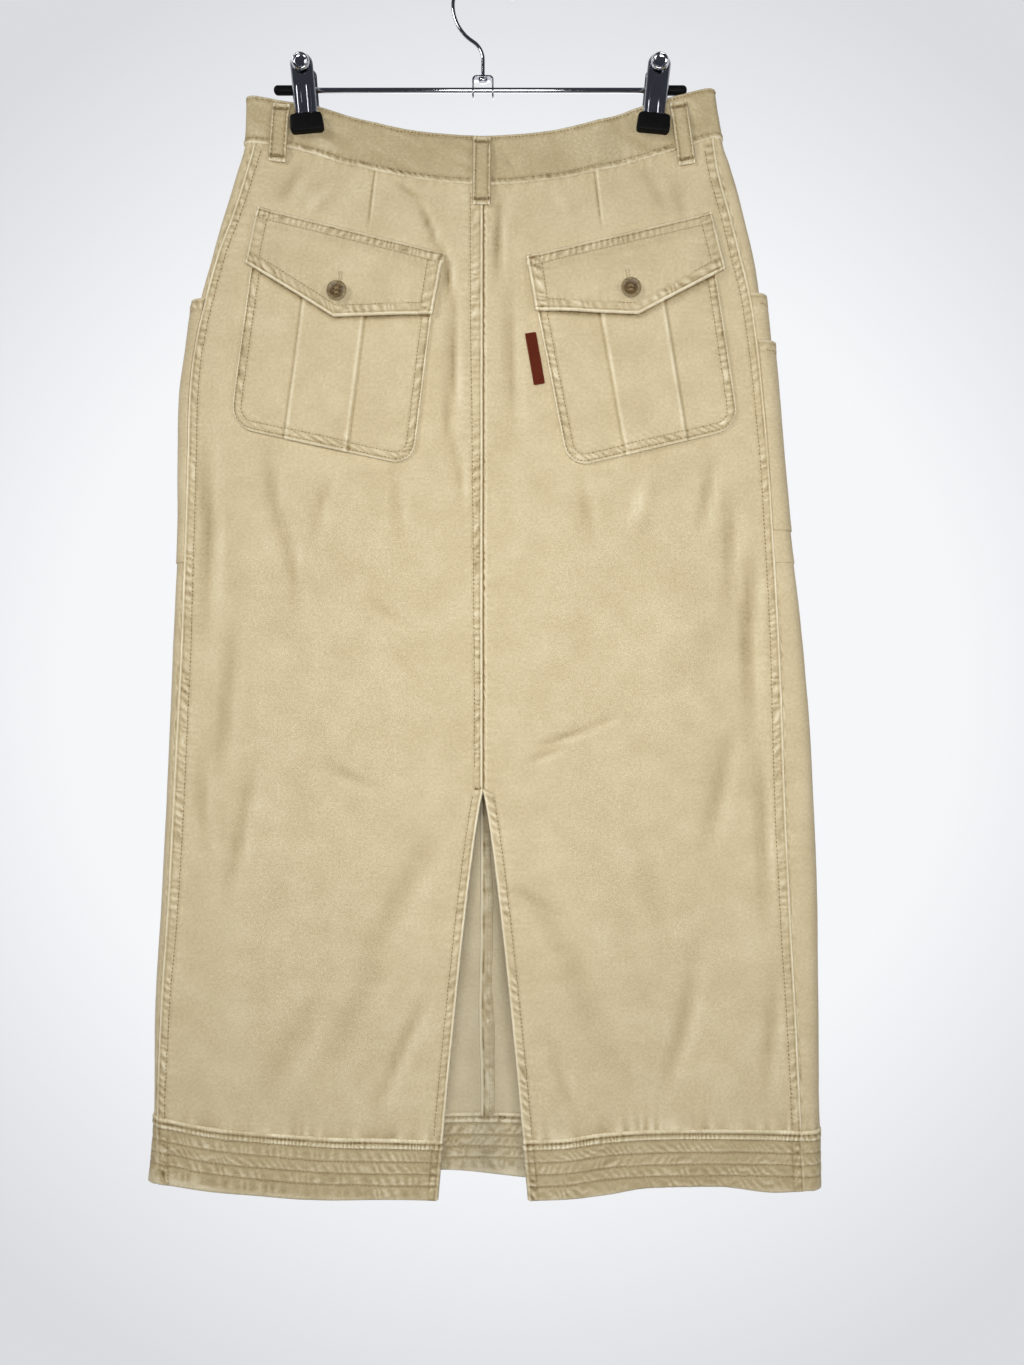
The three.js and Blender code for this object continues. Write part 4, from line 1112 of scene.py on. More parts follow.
def pocket_flap(word):
    shape = BACK_POCKETS[word]
    tl, tr, br, bl = shape["flap"]
    tip = shape["tip"]
    s = fine_ended(106)[None, :]
    flap_rows = [np.linspace(0, 1, 13)[:-1], np.linspace(1, 1.92, 36)[:-1], np.linspace(1.92, 2, 7)]
    t = np.concatenate(flap_rows)[:, None]
    grid = flap_grid(shape, s, t)
    x, z = grid[..., 0], grid[..., 1]
    left, right = distance_inside(grid, bl, tl), distance_inside(grid, tr, br)
    foot = np.minimum(distance_inside(grid, tip, bl), distance_inside(grid, br, tip))
    top = distance_inside(grid, tl, tr)
    sides = np.minimum(left, right)
    seed = 260 if word == "left" else 290
    relief = Relief(x.shape)
    relief.seam(x, foot, 7.6, seed, height=0.28, pitch=6.2, ply=0.3, edge=1.15)
    relief.seam(z, sides, 9.2, seed + 5, height=0.24, pitch=6.2, ply=0.3, edge=1.1)
    relief.seam(x, top, 8.0, seed + 9, height=0.24, pitch=4.6, ply=0.2, edge=0.95)
    relief.stitch_line(x, top - 1.8, seed + 11, depth=0.14, tone=0.3)
    # a painted shadow in the trough below the sewn strip, and a faint painted shade on the soft rumple
    relief.add(out=-0.45 * groove(top - 11.5, 2.6), shade=-0.12 * groove(top - 11.5, 3))
    soft = cockle(x, z, 24, 9.5 + seed)
    relief.add(out=0.4 * soft * smooth(foot / 12) * smooth((top - 10) / 12), shade=0.05 * soft)
    button_x, button_z = shape["button"]
    pull = np.hypot(x - button_x, z - button_z)
    relief.add(out=-0.5 * np.exp(-((pull / 11) ** 2)))
    bag = shape["bag"]
    past = np.minimum(distance_inside(grid, bag[3], bag[0]), distance_inside(grid, bag[1], bag[2]))
    over_bag = CLOTH + LIFT + lerp(0.3, PLEAT, smooth(sides / 26))
    over_bag = over_bag * lerp(0.55, 1, smooth((past + 3.4) / 3.4))
    curl = 0.9 * np.exp(-np.maximum(foot, 0) / 7) * smooth(sides / 30)
    curl = curl * (0.6 + 0.4 * wander(x, 45, seed + 13))
    low = ON_PANEL + over_bag * smooth(np.minimum(t, 1) + 0 * x)
    name, node, form = "flap_cloth_" + word, "flap_" + word, face_frame(-1, x, z)
    return cloth(name, node, form, low + curl, low + FLAP + curl, relief, grid, TWILL)


LOOPS = {
    "back_left": (-1, (-150.2, -98), (-153.6, -140.3)),
    "back_centre": (-1, (-0.5, -124.9), (-0.7, -175.8)),
    "back_right": (-1, (145.8, -96.4), (152.4, -142.6)),
    "front_left": (1, (-82, -122.6), (-84.5, -168)),
    "front_right": (1, (82, -121.6), (84.5, -168)),
}
LOOP_WIDTH, LOOP_CLOTH, LOOP_STAND = 12, 1.6, 1.6


def belt_loop(word):
    face, top, bottom = LOOPS[word]
    top, bottom = np.array(top, float), np.array(bottom, float)
    length = np.linalg.norm(bottom - top)
    across = np.array([top[1] - bottom[1], bottom[0] - top[0]]) / length
    s, t = even(LOOP_WIDTH, 0.7)[None, :], even(length, 1.0)[:, None]
    s, t = np.broadcast_arrays(s, t)
    grid = lerp(top, bottom, t[..., None]) + across * ((s - 0.5) * LOOP_WIDTH)[..., None]
    x, z = grid[..., 0], grid[..., 1]
    seed = 320 + sum(map(ord, word)) % 90
    relief = Relief(x.shape)
    edge = np.minimum(s, 1 - s) * LOOP_WIDTH
    relief.seam(z + 40 * (s > 0.5), edge, 2.0, seed, height=0.12, pitch=4.4, ply=0.25, edge=0.55)
    ends = np.minimum(t, 1 - t) * length
    end_shade = 0.7 * groove(ends, 1.1) - 0.5 * groove(ends - 3.4, 0.9)
    relief.add(out=-0.3 * groove(ends - 3.4, 1), shade=end_shade)
    relief.add(out=0.15 * wander(z, 7, seed + 4))
    low = BAND / 2 + LIFT + LOOP_STAND * plateau(t - 0.5, 0.25, 0.2)
    name, node, form = "loop_" + word, "belt_loop_" + word, face_frame(face, x, z)
    return cloth(name, node, form, low, low + LOOP_CLOTH, relief, grid, TWILL_BAND)


FRONT_POCKETS = {
    "left": dict(side=-1, top=-244, bottom=-440, reach=150, gape=4.8, closes=1.1, on=None),
    "right": dict(side=1, top=-240.5, bottom=-440, reach=150, gape=3.2, closes=0.5, on=None),
    "small_right": dict(side=1, top=-276, bottom=-416, reach=100, gape=0.3, closes=0.6, on="right"),
}


def pocket_stand(pocket, walk, z):
    seam, fold_end = walk_to(pocket["side"], 1, z), walk_to(pocket["side"], 2, z)
    crest = (seam + fold_end) / 2
    before, after = (crest - walk) / (crest - seam), (walk - crest) / (fold_end - crest + pocket["reach"])
    across = np.where(walk < crest, before, after)
    down = np.maximum(pocket["top"] - z, 0) / (pocket["top"] - pocket["bottom"])
    return pocket["gape"] * hump(across) * hump(down / pocket["closes"])


def pressed(pocket, z):
    """A front pocket is worn thin and flat towards its foot: 1 at its mouth, less below."""
    return lerp(0.25, 1, smooth((z - pocket["bottom"]) / (0.8 * (pocket["top"] - pocket["bottom"]))))


def front_pocket(word):
    pocket = FRONT_POCKETS[word]
    side, reach = pocket["side"], pocket["reach"]
    rows = even(pocket["top"] - pocket["bottom"], 2.0)[:, None]
    around = np.linspace(0, 1, 16)
    out_front = even(reach, 2.2)[1:]
    station = np.concatenate([1 + around, np.full(len(out_front), 2.0)])[None, :]
    share = np.concatenate([np.zeros(len(around)), out_front])[None, :]
    corner = np.where(share > 0.5, corner_cut(share, reach, 26), 0) * rows
    z = lerp(pocket["top"], pocket["bottom"], rows) + corner
    walk = walk_to(side, station, z) + share * reach
    walk[:, 0] += GAP
    under = 0.0
    if pocket["on"]:
        below = FRONT_POCKETS[pocket["on"]]
        under = pocket_stand(below, walk, z) + (CLOTH + 2 * LIFT) * pressed(below, z) + 0.3
    relief = Relief(z.shape)
    seed = 420 + len(word)
    down, inner, foot = pocket["top"] - z, walk[:, -1:] - walk, z - z[-1:, :]
    relief.seam(walk, down, 8.2, seed, height=0.3, pitch=6.2, ply=0.4, edge=0.95)
    edge = np.minimum(inner, foot)
    relief.seam(z + walk, edge, 6.8, seed + 8, height=0.26, pitch=6.2, ply=0.35, edge=0.9)
    soft = cockle(walk, z, 23, seed)
    # a faint painted shade on the soft rumple
    relief.add(out=0.3 * soft, shade=0.05 * soft)
    flat = pressed(pocket, z)
    relief.out *= flat
    relief.shade *= smooth((flat - 0.25) / 0.5)
    low = CLOTH / 2 + LIFT * flat + under + pocket_stand(pocket, walk, z)
    form, uv = cloth_frame(side + 0 * z, walk, z), np.stack([side * walk, z], -1)
    name, node = "pocket_front_" + word, "front_pocket_" + word
    return cloth(name, node, form, low, low + CLOTH * flat, relief, uv, TWILL)


FLY = dict(width=38, top=-174.5, bottom=-330)


def fly_lap():
    s, t = np.broadcast_arrays(even(FLY["width"], 1.6)[None, :], even(155, 2)[:, None])
    cut = np.where(s > 0.45, 30 * ((s - 0.45) / 0.55) ** 2, 0)
    grid = np.stack([1 + s * FLY["width"], lerp(FLY["top"], FLY["bottom"] + cut, t)], -1)
    x, z = grid[..., 0], grid[..., 1]
    relief = Relief(x.shape)
    relief.seam(z, (1 - s) * FLY["width"], 5.5, 470, height=0.2, pitch=6.2, ply=0.3, edge=0.5)
    relief.seam(z, s * FLY["width"], 2.4, 475, height=0.14, pitch=5, ply=0.25, edge=0.8)
    low = np.full(x.shape, ON_PANEL)
    return cloth("fly_cloth", "fly_lap", face_frame(1, x, z), low, low + CLOTH, relief, grid, TWILL)


TAB = dict(x=38.6, z=-290.8, width=7.6, height=38, lean=10, thick=0.9)


def pocket_tab():
    """A bare woven tab caught in the right pocket's seam."""
    s, t = np.broadcast_arrays(even(TAB["width"], 0.6)[None, :], even(TAB["height"], 0.9)[:, None])
    dx, dz = (s - 0.5) * TAB["width"], (0.5 - t) * TAB["height"]
    c, n = math.cos(math.radians(TAB["lean"])), math.sin(math.radians(TAB["lean"]))
    grid = np.stack([TAB["x"] + dx * c - dz * n, TAB["z"] + dx * n + dz * c], -1)
    relief = Relief(s.shape)
    edge = np.minimum(np.minimum(s, 1 - s) * TAB["width"], np.minimum(t, 1 - t) * TAB["height"])
    rim_shade = 0.55 * groove(edge, 0.5) - 0.5 * groove(edge - 0.9, 0.5)
    relief.add(shade=rim_shade, out=0.12 * groove(edge - 0.5, 0.5))
    low = np.full(s.shape, ON_PANEL) + 0.25 * wander(dz, 14, 490) * (1 - s)
    form, uv = face_frame(-1, grid[..., 0], grid[..., 1]), np.stack([dx, dz], -1)
    return cloth("pocket_tab", "label", form, low, low + TAB["thick"], relief, uv, TAB_CLOTH)


# ------------------------------------------------------------------ thread


class Needle:
    """Lays stitches on a finished piece: each a short rounded bead, sunk at both ends."""

    def __init__(self, piece):
        self.tree = BVHTree.FromObject(piece, bpy.context.evaluated_depsgraph_get())
        self.beads = []

    def ground(self, points):
        spots, ups = [], []
        for point in points:
            spot, up, _, _ = self.tree.find_nearest(Vector(point) * MM)
            spots.append(spot)
            ups.append(up)
        return np.array(spots) / MM, np.array(ups)

    def bead(self, a, b, up, width, rise, sink):
        self.beads.append((a, b, up, width, rise, sink))

    def run(self, line, seed, pitch=2.9, length=2.25, width=0.62, rise=0.24, sink=0.12):
        line = np.asarray(line, float)
        steps = np.concatenate([[0], np.cumsum(np.linalg.norm(np.diff(line, axis=0), axis=1))])
        count = max(1, int(steps[-1] / pitch))
        pick = np.random.RandomState(seed)
        middle = (np.arange(count) + 0.5) * steps[-1] / count + pick.uniform(-0.12, 0.12, count)
        half = length / 2 * pick.uniform(0.92, 1.06, count)
        ends = []
        for at in (middle - half, middle + half):
            ends.append(np.stack([np.interp(at, steps, line[:, k]) for k in range(3)], -1))
        first, up = self.ground(ends[0])
        last, _ = self.ground(ends[1])
        for a, b, n in zip(first, last, up):
            self.bead(a, b, n, width, rise, sink)
        return self

    def tack(self, start, end, out, width=2.4, pitch=0.75):
        """A bartack: stitches set side by side across the line from start to end."""
        start, end, out = (np.asarray(v, float) for v in (start, end, out))
        length = np.linalg.norm(end - start)
        along = (end - start) / length
        across = np.cross(out, along)
        for k in range(int(length / pitch) + 1):
            middle = start + along * min(k * pitch, length)
            lean = along * (0.3 if k % 2 else -0.3)
            spots, ups = self.ground([middle - across * width / 2 - lean, middle + across * width / 2 + lean])
            self.bead(spots[0], spots[1], ups[0], 0.62, 0.42, 0.1)
        return self

    def finish(self, name, slot, material):
        a, b, up = (np.array([bead[k] for bead in self.beads]) for k in range(3))
        width, rise, sink = (np.array([bead[k] for bead in self.beads])[:, None] for k in (3, 4, 5))
        along = b - a
        side = np.cross(up, along)
        side /= np.linalg.norm(side, axis=1, keepdims=True) + 1e-9
        rings = [a - up * sink]
        for share in (0.2, 0.8):
            middle = a + along * share
            beside = side * width / 2
            rings += [middle + beside, middle + up * rise, middle - beside, middle - up * sink]
        rings.append(b - up * sink)
        points = np.stack(rings, 1).reshape(-1, 3) * MM
        faces = []
        for k in range(4):
            after = (k + 1) % 4
            faces.append((0, 1 + k, 1 + after, 1 + after))
            faces.append((1 + k, 5 + k, 5 + after, 1 + after))
            faces.append((5 + k, 9, 5 + after, 5 + after))
        base = np.arange(len(self.beads))[:, None] * 10
        everything = []
        for face in faces:
            corners = face if len(set(face)) == 4 else face[:3]
            everything += (base + np.array(corners)[None, :]).tolist()
        mesh = bpy.data.meshes.new(name)
        mesh.from_pydata(points.tolist(), [], everything)
        mesh.shade_smooth()
        mesh.validate()
        work = bmesh.new()
        work.from_mesh(mesh)
        bmesh.ops.recalc_face_normals(work, faces=work.faces)
        work.to_mesh(mesh)
        work.free()
        mesh.materials.append(material)
        piece = bpy.data.objects.new(name, mesh)
        bpy.context.scene.collection.objects.link(piece)
        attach(piece, "root")
        return piece


def on_face(face, x, z, lift=4.0):
    """Points just over the back or front, for a needle to find the cloth from."""
    base, out = face_frame(face, np.asarray(x, float), np.asarray(z, float))
    return base + out * lift


def on_tube(side, walk, z, lift=3.0):
    base, out = cloth_frame(side, walk, z)
    return base + out * lift


def sewn_to(piece, needle, name, slot="twill", material=THREAD):
    thread = needle.finish(name, slot, material)
    for sheet, _, sewn in SHEETS:
        if sheet == piece:
            sewn.append(thread)


def stitch_panels(panels):
    for side, word in ((-1, "left"), (1, "right")):
        needle = Needle(panels["back_" + word])
        seed = 40 if side < 0 else 60
        z = np.linspace(-166, -592, 90)
        if side < 0:
            needle.run(on_tube(side, fell_width(z), z), 1)
        z = np.linspace(VENT_TOP - 4, -861, 60)
        needle.run(on_tube(side, back_start(side, z) + 6.9 + GAP / 2, z), 2 + side)
        z = np.linspace(-132, -858, 150)
        row = 7.6 + 1.6 * wander(z, 210, seed + 9)
        needle.run(on_tube(side, seam_walk(side, z) - row, z), 5 + side)
        sewn_to(panels["back_" + word], needle, "stitches_back_" + word)
    needle = Needle(panels["front_right"])
    z = np.linspace(-335, -858, 100)
    fold, flat = ring(1, z)
    needle.run(on_tube(1, 2 * flat + math.pi * fold - 6.6, z), 9)
    sewn_to(panels["front_right"], needle, "stitches_front_right")


def stitch_hems(bands):
    stations = np.linspace(0.01, 0.99, 60)
    for (side, word), band in zip(((-1, "left"), (1, "right")), bands):
        needle = Needle(band)
        for i, row in enumerate((*HEM_ROWS, 2.6)):
            z = hem_z("seam", side, stations) - GAP / 2 - row
            needle.run(on_tube(side, walk_to(side, stations, z), z), 20 + i, pitch=3.1)
        z = np.linspace(-866, -901, 12)
        needle.run(on_tube(side, back_start(side, z) + 7.1, z), 27)
        needle.run(on_tube(side, seam_walk(side, z) - 8.4, z), 28)
        sewn_to(band, needle, "stitches_hem_" + word, "twill_double")
    needle = Needle(bands[2])
    stations = np.linspace(1.05, 2.99, 90)
    for i, row in enumerate(HEM_ROWS):
        for side in (-1, 1):
            z = hem_z("seam", side, stations) - GAP / 2 - row
            needle.run(on_tube(side, walk_to(side, stations, z), z), 30 + i, pitch=3.1)
    sewn_to(bands[2], needle, "stitches_hem_front", "twill_double")
    needle = Needle(bands[2])
    stations = np.linspace(2.8, 3, 14)
    for i, row in enumerate((2.6, *HEM_ROWS)):
        for side in (-1, 1):
            z = hem_z("seam", side, stations) - GAP / 2 - row
            needle.run(on_tube(side, walk_to(side, stations, z), z, -3), 36 + i, pitch=3.1)
    sewn_to(bands[2], needle, "stitches_hem_inside", "twill_double", OVERLOCK)


def stitch_waistband(band):
    needle = Needle(band)
    stations = np.linspace(0, 2.94, 160)
    for side in (-1, 1):
        z = waist_z("top", side, stations) - 2.7
        needle.run(on_tube(side, walk_to(side, stations, z), z, 5), 40 + side, pitch=2.6, length=2.0)
        z = waist_z("seam", side, stations) + GAP / 2 + 4.2
        needle.run(on_tube(side, walk_to(side, stations, z), z, 5), 43 + side, pitch=2.6, length=2.0)
    sewn_to(band, needle, "stitches_waistband", "twill_double")


def inset_line(corners, inset):
    """An open run of straight lines moved in to the right of its direction."""
    corners = [np.array(c, float) for c in corners]
    directions = [(b - a) / np.linalg.norm(b - a) for a, b in zip(corners, corners[1:])]
    inward = [np.array([d[1], -d[0]]) for d in directions]
    moved = [corners[0] + inward[0] * inset]
    for k in range(1, len(corners) - 1):
        both = inward[k - 1] + inward[k]
        moved.append(corners[k] + both * inset / (1 + inward[k - 1] @ inward[k]))
    moved.append(corners[-1] + inward[-1] * inset)
    return moved


def rounded(corners, radius):
    """The same run with its inner corners turned to arcs."""
    line = [corners[0]]
    for before, corner, after in zip(corners, corners[1:], corners[2:]):
        a = corner + (before - corner) / np.linalg.norm(before - corner) * radius
        b = corner + (after - corner) / np.linalg.norm(after - corner) * radius
        line += [lerp(lerp(a, corner, t), lerp(corner, b, t), t) for t in np.linspace(0, 1, 7)]
    line.append(corners[-1])
    return line


def sew_line(needle, points, seed, lift=5.0, face=-1, **kw):
    points, pieces = [np.array(point, float) for point in points], []
    for a, b in zip(points, points[1:]):
        pieces.append(lerp(a, b, even(np.linalg.norm(b - a), 3.0)[:, None]))
    dense = np.concatenate(pieces)
    keep = np.concatenate([[True], np.linalg.norm(np.diff(dense, axis=0), axis=1) > 1e-6])
    dense = dense[keep]
    needle.run(on_face(face, dense[:, 0], dense[:, 1], lift), seed, **kw)


def stitch_back_pocket(piece, word):
    tl, tr, br, bl = BACK_POCKETS[word]["bag"]
    needle = Needle(piece)
    for inset, seed in ((1.9, 50), (7.4, 51)):
        line = rounded(inset_line([tr, br, bl, tl], inset), max(BAG_CORNER - inset, 6))
        sew_line(needle, line, seed + len(word), pitch=2.7, length=2.1)
    sewn_to(piece, needle, "stitches_pocket_" + word)


def stitch_flap(piece, word):
    shape = BACK_POCKETS[word]
    tl, tr, br, bl = shape["flap"]
    needle = Needle(piece)
    foot = inset_line([tr, br, shape["tip"], bl, tl], 7.6)
    top = inset_line([tl, tr], 8.0)
    start, nudge = top[1] + (top[0] - top[1]) * 0.066, np.array([1.4, 0])
    line = [start, foot[1] - nudge, foot[2], foot[3] + nudge]
    line.append(top[0] + (top[1] - top[0]) * 0.066)
    sew_line(needle, line, 60 + len(word), pitch=2.7, length=2.1)
    for inset in (1.9, 8.0):
        sew_line(needle, inset_line([tl, tr], inset), 62 + int(inset) + len(word), pitch=2.6, length=2.0)
    sewn_to(piece, needle, "stitches_flap_" + word)
    needle = Needle(piece)
    hole, button = np.array(shape["hole"]), np.array(shape["button"])
    up = (hole - button) / np.linalg.norm(hole - button)
    across = np.array([up[1], -up[0]])
    for edge in (-1, 1):
        a, b = button + up * 1.0 + across * 0.95 * edge, hole + across * 0.95 * edge
        ends = on_face(-1, [a[0], b[0]], [a[1], b[1]], 6)
        needle.tack(ends[0], ends[1], (0, -1, 0), width=1.3, pitch=0.72)
    a, b = hole - across * 1.8 + up * 0.6, hole + across * 1.8 + up * 0.6
    ends = on_face(-1, [a[0], b[0]], [a[1], b[1]], 6)
    needle.tack(ends[0], ends[1], (0, -1, 0), width=1.9, pitch=0.62)
    sewn_to(piece, needle, "buttonhole_" + word, material=OVERLOCK)


def stitch_loop(piece, word):
    face, top, bottom = LOOPS[word]
    top, bottom = np.array(top, float), np.array(bottom, float)
    along = (bottom - top) / np.linalg.norm(bottom - top)
    across = np.array([-along[1], along[0]])
    needle = Needle(piece)
    for edge in (-1, 1):
        a, b = top + across * 4.1 * edge + along * 3, bottom + across * 4.1 * edge - along * 3
        sew_line(needle, [a, b], 70 + edge, 7, face, pitch=2.4, length=1.9)
    for end, way in ((top, 1), (bottom, -1)):
        middle = end + along * 3.4 * way
        a, b = middle - across * 5.2, middle + across * 5.2
        ends = on_face(face, [a[0], b[0]], [a[1], b[1]], 7)
        needle.tack(ends[0], ends[1], (0, face, 0), width=1.7, pitch=0.9)
    sewn_to(piece, needle, "stitches_loop_" + word, "twill_double")


def stitch_front_pocket(piece, word):
    pocket = FRONT_POCKETS[word]
    side, reach = pocket["side"], pocket["reach"]
    needle = Needle(piece)
    t, lift = np.linspace(0, 1, 40), 12
    z = np.full(40, pocket["top"] - 8.2)
    walk = lerp(walk_to(side, 1, z) + 3, walk_to(side, 2, z) + reach - 3, t)
    needle.run(on_tube(side, walk, z, lift), 80, pitch=2.7, length=2.1)
    z = np.linspace(pocket["top"] - 4, pocket["bottom"] + 34, 40)
    needle.run(on_tube(side, walk_to(side, 2, z) + reach - 6.8, z, lift), 81, pitch=2.7, length=2.1)
    z = np.full(40, pocket["bottom"] + 6.8)
    needle.run(on_tube(side, walk_to(side, 2, z) + reach * lerp(0.08, 0.62, t), z, lift), 82, pitch=2.7)
    sewn_to(piece, needle, "stitches_pocket_front_" + word)


def vent_tack(piece):
    """The bartack that closes the vent's top."""
    z = VENT_TOP + 1.2
    start, end = on_face(-1, [-6.2, -0.4], [z, z], 4)
    sewn_to(piece, Needle(piece).tack(start, end, (0, -1, 0), width=2.8, pitch=0.72), "vent_tack")


def seam_allowance(front):
    """The centre front seam's overlocked allowance, on the inside: it shows through the vent."""
    z = np.linspace(-345, -861, 150)[:, None]
    across = np.linspace(0, 1, 14)[None, :]
    left = -2.6 + 0.9 * wander(z, 60, 501)
    width = 6.6 + 4.4 * smooth((-600 - z) / 250) + 1.1 * wander(z, 33, 502)
    x = left + width * across
    z = z + 0 * x
    relief = Relief(x.shape)
    edge = width * across
    twist = rope(z, edge, width * 1.1, 506, 4.4)
    relief.add(out=0.25 * twist + 0.4 * groove(edge, 1.2))
    # painted light over the whole strip, a painted highlight on its left edge, painted shadow in dashes along
    # the stitch row, and painted shade on the twisted puckers
    dashes = 0.6 + 0.4 * np.sign(np.sin(2 * math.pi * z / 3.1))
    rows = 0.25 + 1.3 * groove(edge - 0.4, 1.0) - 1.3 * dashes * groove(edge - 2.3, 0.7)
    relief.add(shade=rows + 0.7 * twist)
    base, out = face_frame(1, x, z)
    stand = 0.9 + 0.5 * across * (0.6 + 0.4 * wander(z, 40, 505))
    outer, inner = base - out * (stand + 0.9 + relief.out)[..., None], base - out * stand[..., None]
    uv = np.stack([x, z], -1)
    piece = closed_wall("seam_allowance", outer, inner, uv, relief.shade, TWILL)
    needle = Needle(piece)
    line = z[:, 0]
    for k, edge in enumerate((-0.9, -3.4)):
        path = np.stack([x[:, -1] + edge, base[:, -1, 1] - 4, line], -1)
        needle.run(path, 90 + k, pitch=2.1, length=1.7, width=0.5)
    for end, over, height in zip(x[:-1, -1], base[:-1, -1, 1] - 4, line[:-1]):
        spots, ups = needle.ground([[end - 0.2, over, height], [end - 3.6, over, height - 1.2]])
        needle.bead(spots[0], spots[1], ups[1], 0.45, 0.3, 0.1)
    for sheet, _, sewn in SHEETS:
        if sheet == front:
            sewn.append(piece)
    sewn_to(front, needle, "overlock_stitches", "twill", OVERLOCK)
    SHEETS.append([piece, cut_size(uv), []])


# ------------------------------------------------------------------ hard pieces, shaped in edit mode


def start_with(add_primitive, name, **sizes):
    bpy.ops.object.select_all(action="DESELECT")
    add_primitive(**sizes)
    piece = bpy.context.view_layer.objects.active
    piece.name = name
    bpy.ops.object.transform_apply(location=True, rotation=True, scale=True)
    return piece


def choose(piece, kind, test):
    """In edit mode, selects the faces, edges or vertices that pass the test."""
    bpy.ops.mesh.select_mode(type={"faces": "FACE", "edges": "EDGE", "verts": "VERT"}[kind])
    bpy.ops.mesh.select_all(action="DESELECT")
    work = bmesh.from_edit_mesh(piece.data)
    work.normal_update()
    for item in getattr(work, kind):
        item.select_set(bool(test(item)))
    work.select_flush_mode()
    bmesh.update_edit_mesh(piece.data)


def edit(on):
    bpy.ops.object.mode_set(mode="EDIT" if on else "OBJECT")


def apply_modifier(piece, kind, **values):
    bpy.ops.object.select_all(action="DESELECT")
    piece.select_set(True)
    bpy.context.view_layer.objects.active = piece
    modifier = piece.modifiers.new(kind.title(), kind)
    for key, value in values.items():
        setattr(modifier, key, value)
    bpy.ops.object.modifier_apply(modifier=modifier.name)


def round_edges(piece, width, segments=3, angle=32):
    limit = math.radians(angle)
    apply_modifier(piece, "BEVEL", width=width, segments=segments, limit_method="ANGLE", angle_limit=limit)


def join(pieces, name):
    bpy.ops.object.select_all(action="DESELECT")
    for piece in pieces:
        piece.select_set(True)
    bpy.context.view_layer.objects.active = pieces[0]
    bpy.ops.object.join()
    pieces[0].name = name
    return pieces[0]


def settle(piece, nodes, material, place=None, smooth_angle=38):
    """Puts a piece modelled in millimetres in its place, in metres, and hands it over."""
    bpy.ops.object.select_all(action="DESELECT")
    piece.select_set(True)
    bpy.context.view_layer.objects.active = piece
    piece.data.transform(Matrix.Scale(MM, 4) @ (place or Matrix.Identity(4)))
    bpy.ops.object.shade_smooth_by_angle(angle=math.radians(smooth_angle))
    piece.data.materials.clear()
    piece.data.materials.append(material)
    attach(piece, "root")
    if nodes:
        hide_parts(*nodes)
    return piece


def cylinder(name, radius, depth, centre, axis="Z", vertices=32):
    turn = {"X": (0, math.pi / 2, 0), "Y": (math.pi / 2, 0, 0), "Z": (0, 0, 0)}[axis]
    sizes = dict(vertices=vertices, radius=radius, depth=depth, location=centre, rotation=turn)
    return start_with(bpy.ops.mesh.primitive_cylinder_add, name, **sizes)


def disc(name, radius, vertices, centre, axis="Z"):
    turn = (math.pi / 2, 0, 0) if axis == "Y" else (0, 0, 0)
    sizes = dict(vertices=vertices, radius=radius, fill_type="NGON", location=centre, rotation=turn)
    return start_with(bpy.ops.mesh.primitive_circle_add, name, **sizes)


def hook():
    """Wire bent in one plane: a straight neck, an S, and the open hook over the rail."""
    piece = disc("hook_wire", 1.5, 16, (0, 0, -75.4))
    edit(True)
    choose(piece, "faces", lambda face: True)
    for rise in (6.7, 6.7):
        bpy.ops.mesh.extrude_region_move(TRANSFORM_OT_translate={"value": (0, 0, rise)})
    bends = [((-16, 0, -62), -57.5, 10), ((10.1, 0, -21), 57.5, 12), ((0, 0, -21), 168, 32)]
    for centre, degrees, steps in bends:
        for _ in range(steps):
            bpy.ops.mesh.extrude_region_move()
            turn = -math.radians(degrees / steps)
            bpy.ops.transform.rotate(value=turn, orient_axis="Y", center_override=centre)
    for share in (0.8, 0.4):
        bpy.ops.mesh.extrude_region_move()
        bpy.ops.transform.resize(value=(share, share, share))
        bpy.ops.transform.translate(value=(-0.15, 0, -0.35))
    bpy.ops.mesh.select_all(action="SELECT")
    bpy.ops.mesh.normals_make_consistent(inside=False)
    edit(False)
    settle(piece, ["hanger_hook"], STEEL, smooth_angle=60)


ROD_Z, ROD_RADIUS, ROD_ENDS, CAP = -85, 2, (-157, 153), 15


def rod():
    x0, x1 = ROD_ENDS[0] + CAP, ROD_ENDS[1] - CAP
    piece = cylinder("hanger_bar", ROD_RADIUS, x1 - x0, ((x0 + x1) / 2, 0, ROD_Z), "X")
    round_edges(piece, 0.3, 2)
    settle(piece, ["hanger_rod"], STEEL)
    for word, end, inner in (("left", ROD_ENDS[0], x0), ("right", ROD_ENDS[1], x1)):
        cap = cylinder("bar_cap_" + word, 3.5, abs(inner - end) - 0.3, ((end + inner) / 2, 0, ROD_Z), "X")
        edit(True)
        outward = -1 if word == "left" else 1
        choose(cap, "faces", lambda face: face.normal.x * outward > 0.9)
        bpy.ops.mesh.bevel(offset=3.1, segments=7, affect="EDGES")
        choose(cap, "faces", lambda face: face.normal.x * outward < -0.9)
        bpy.ops.mesh.bevel(offset=0.5, segments=2, affect="EDGES")
        edit(False)
        settle(cap, ["rod_cap_" + word], RUBBER)


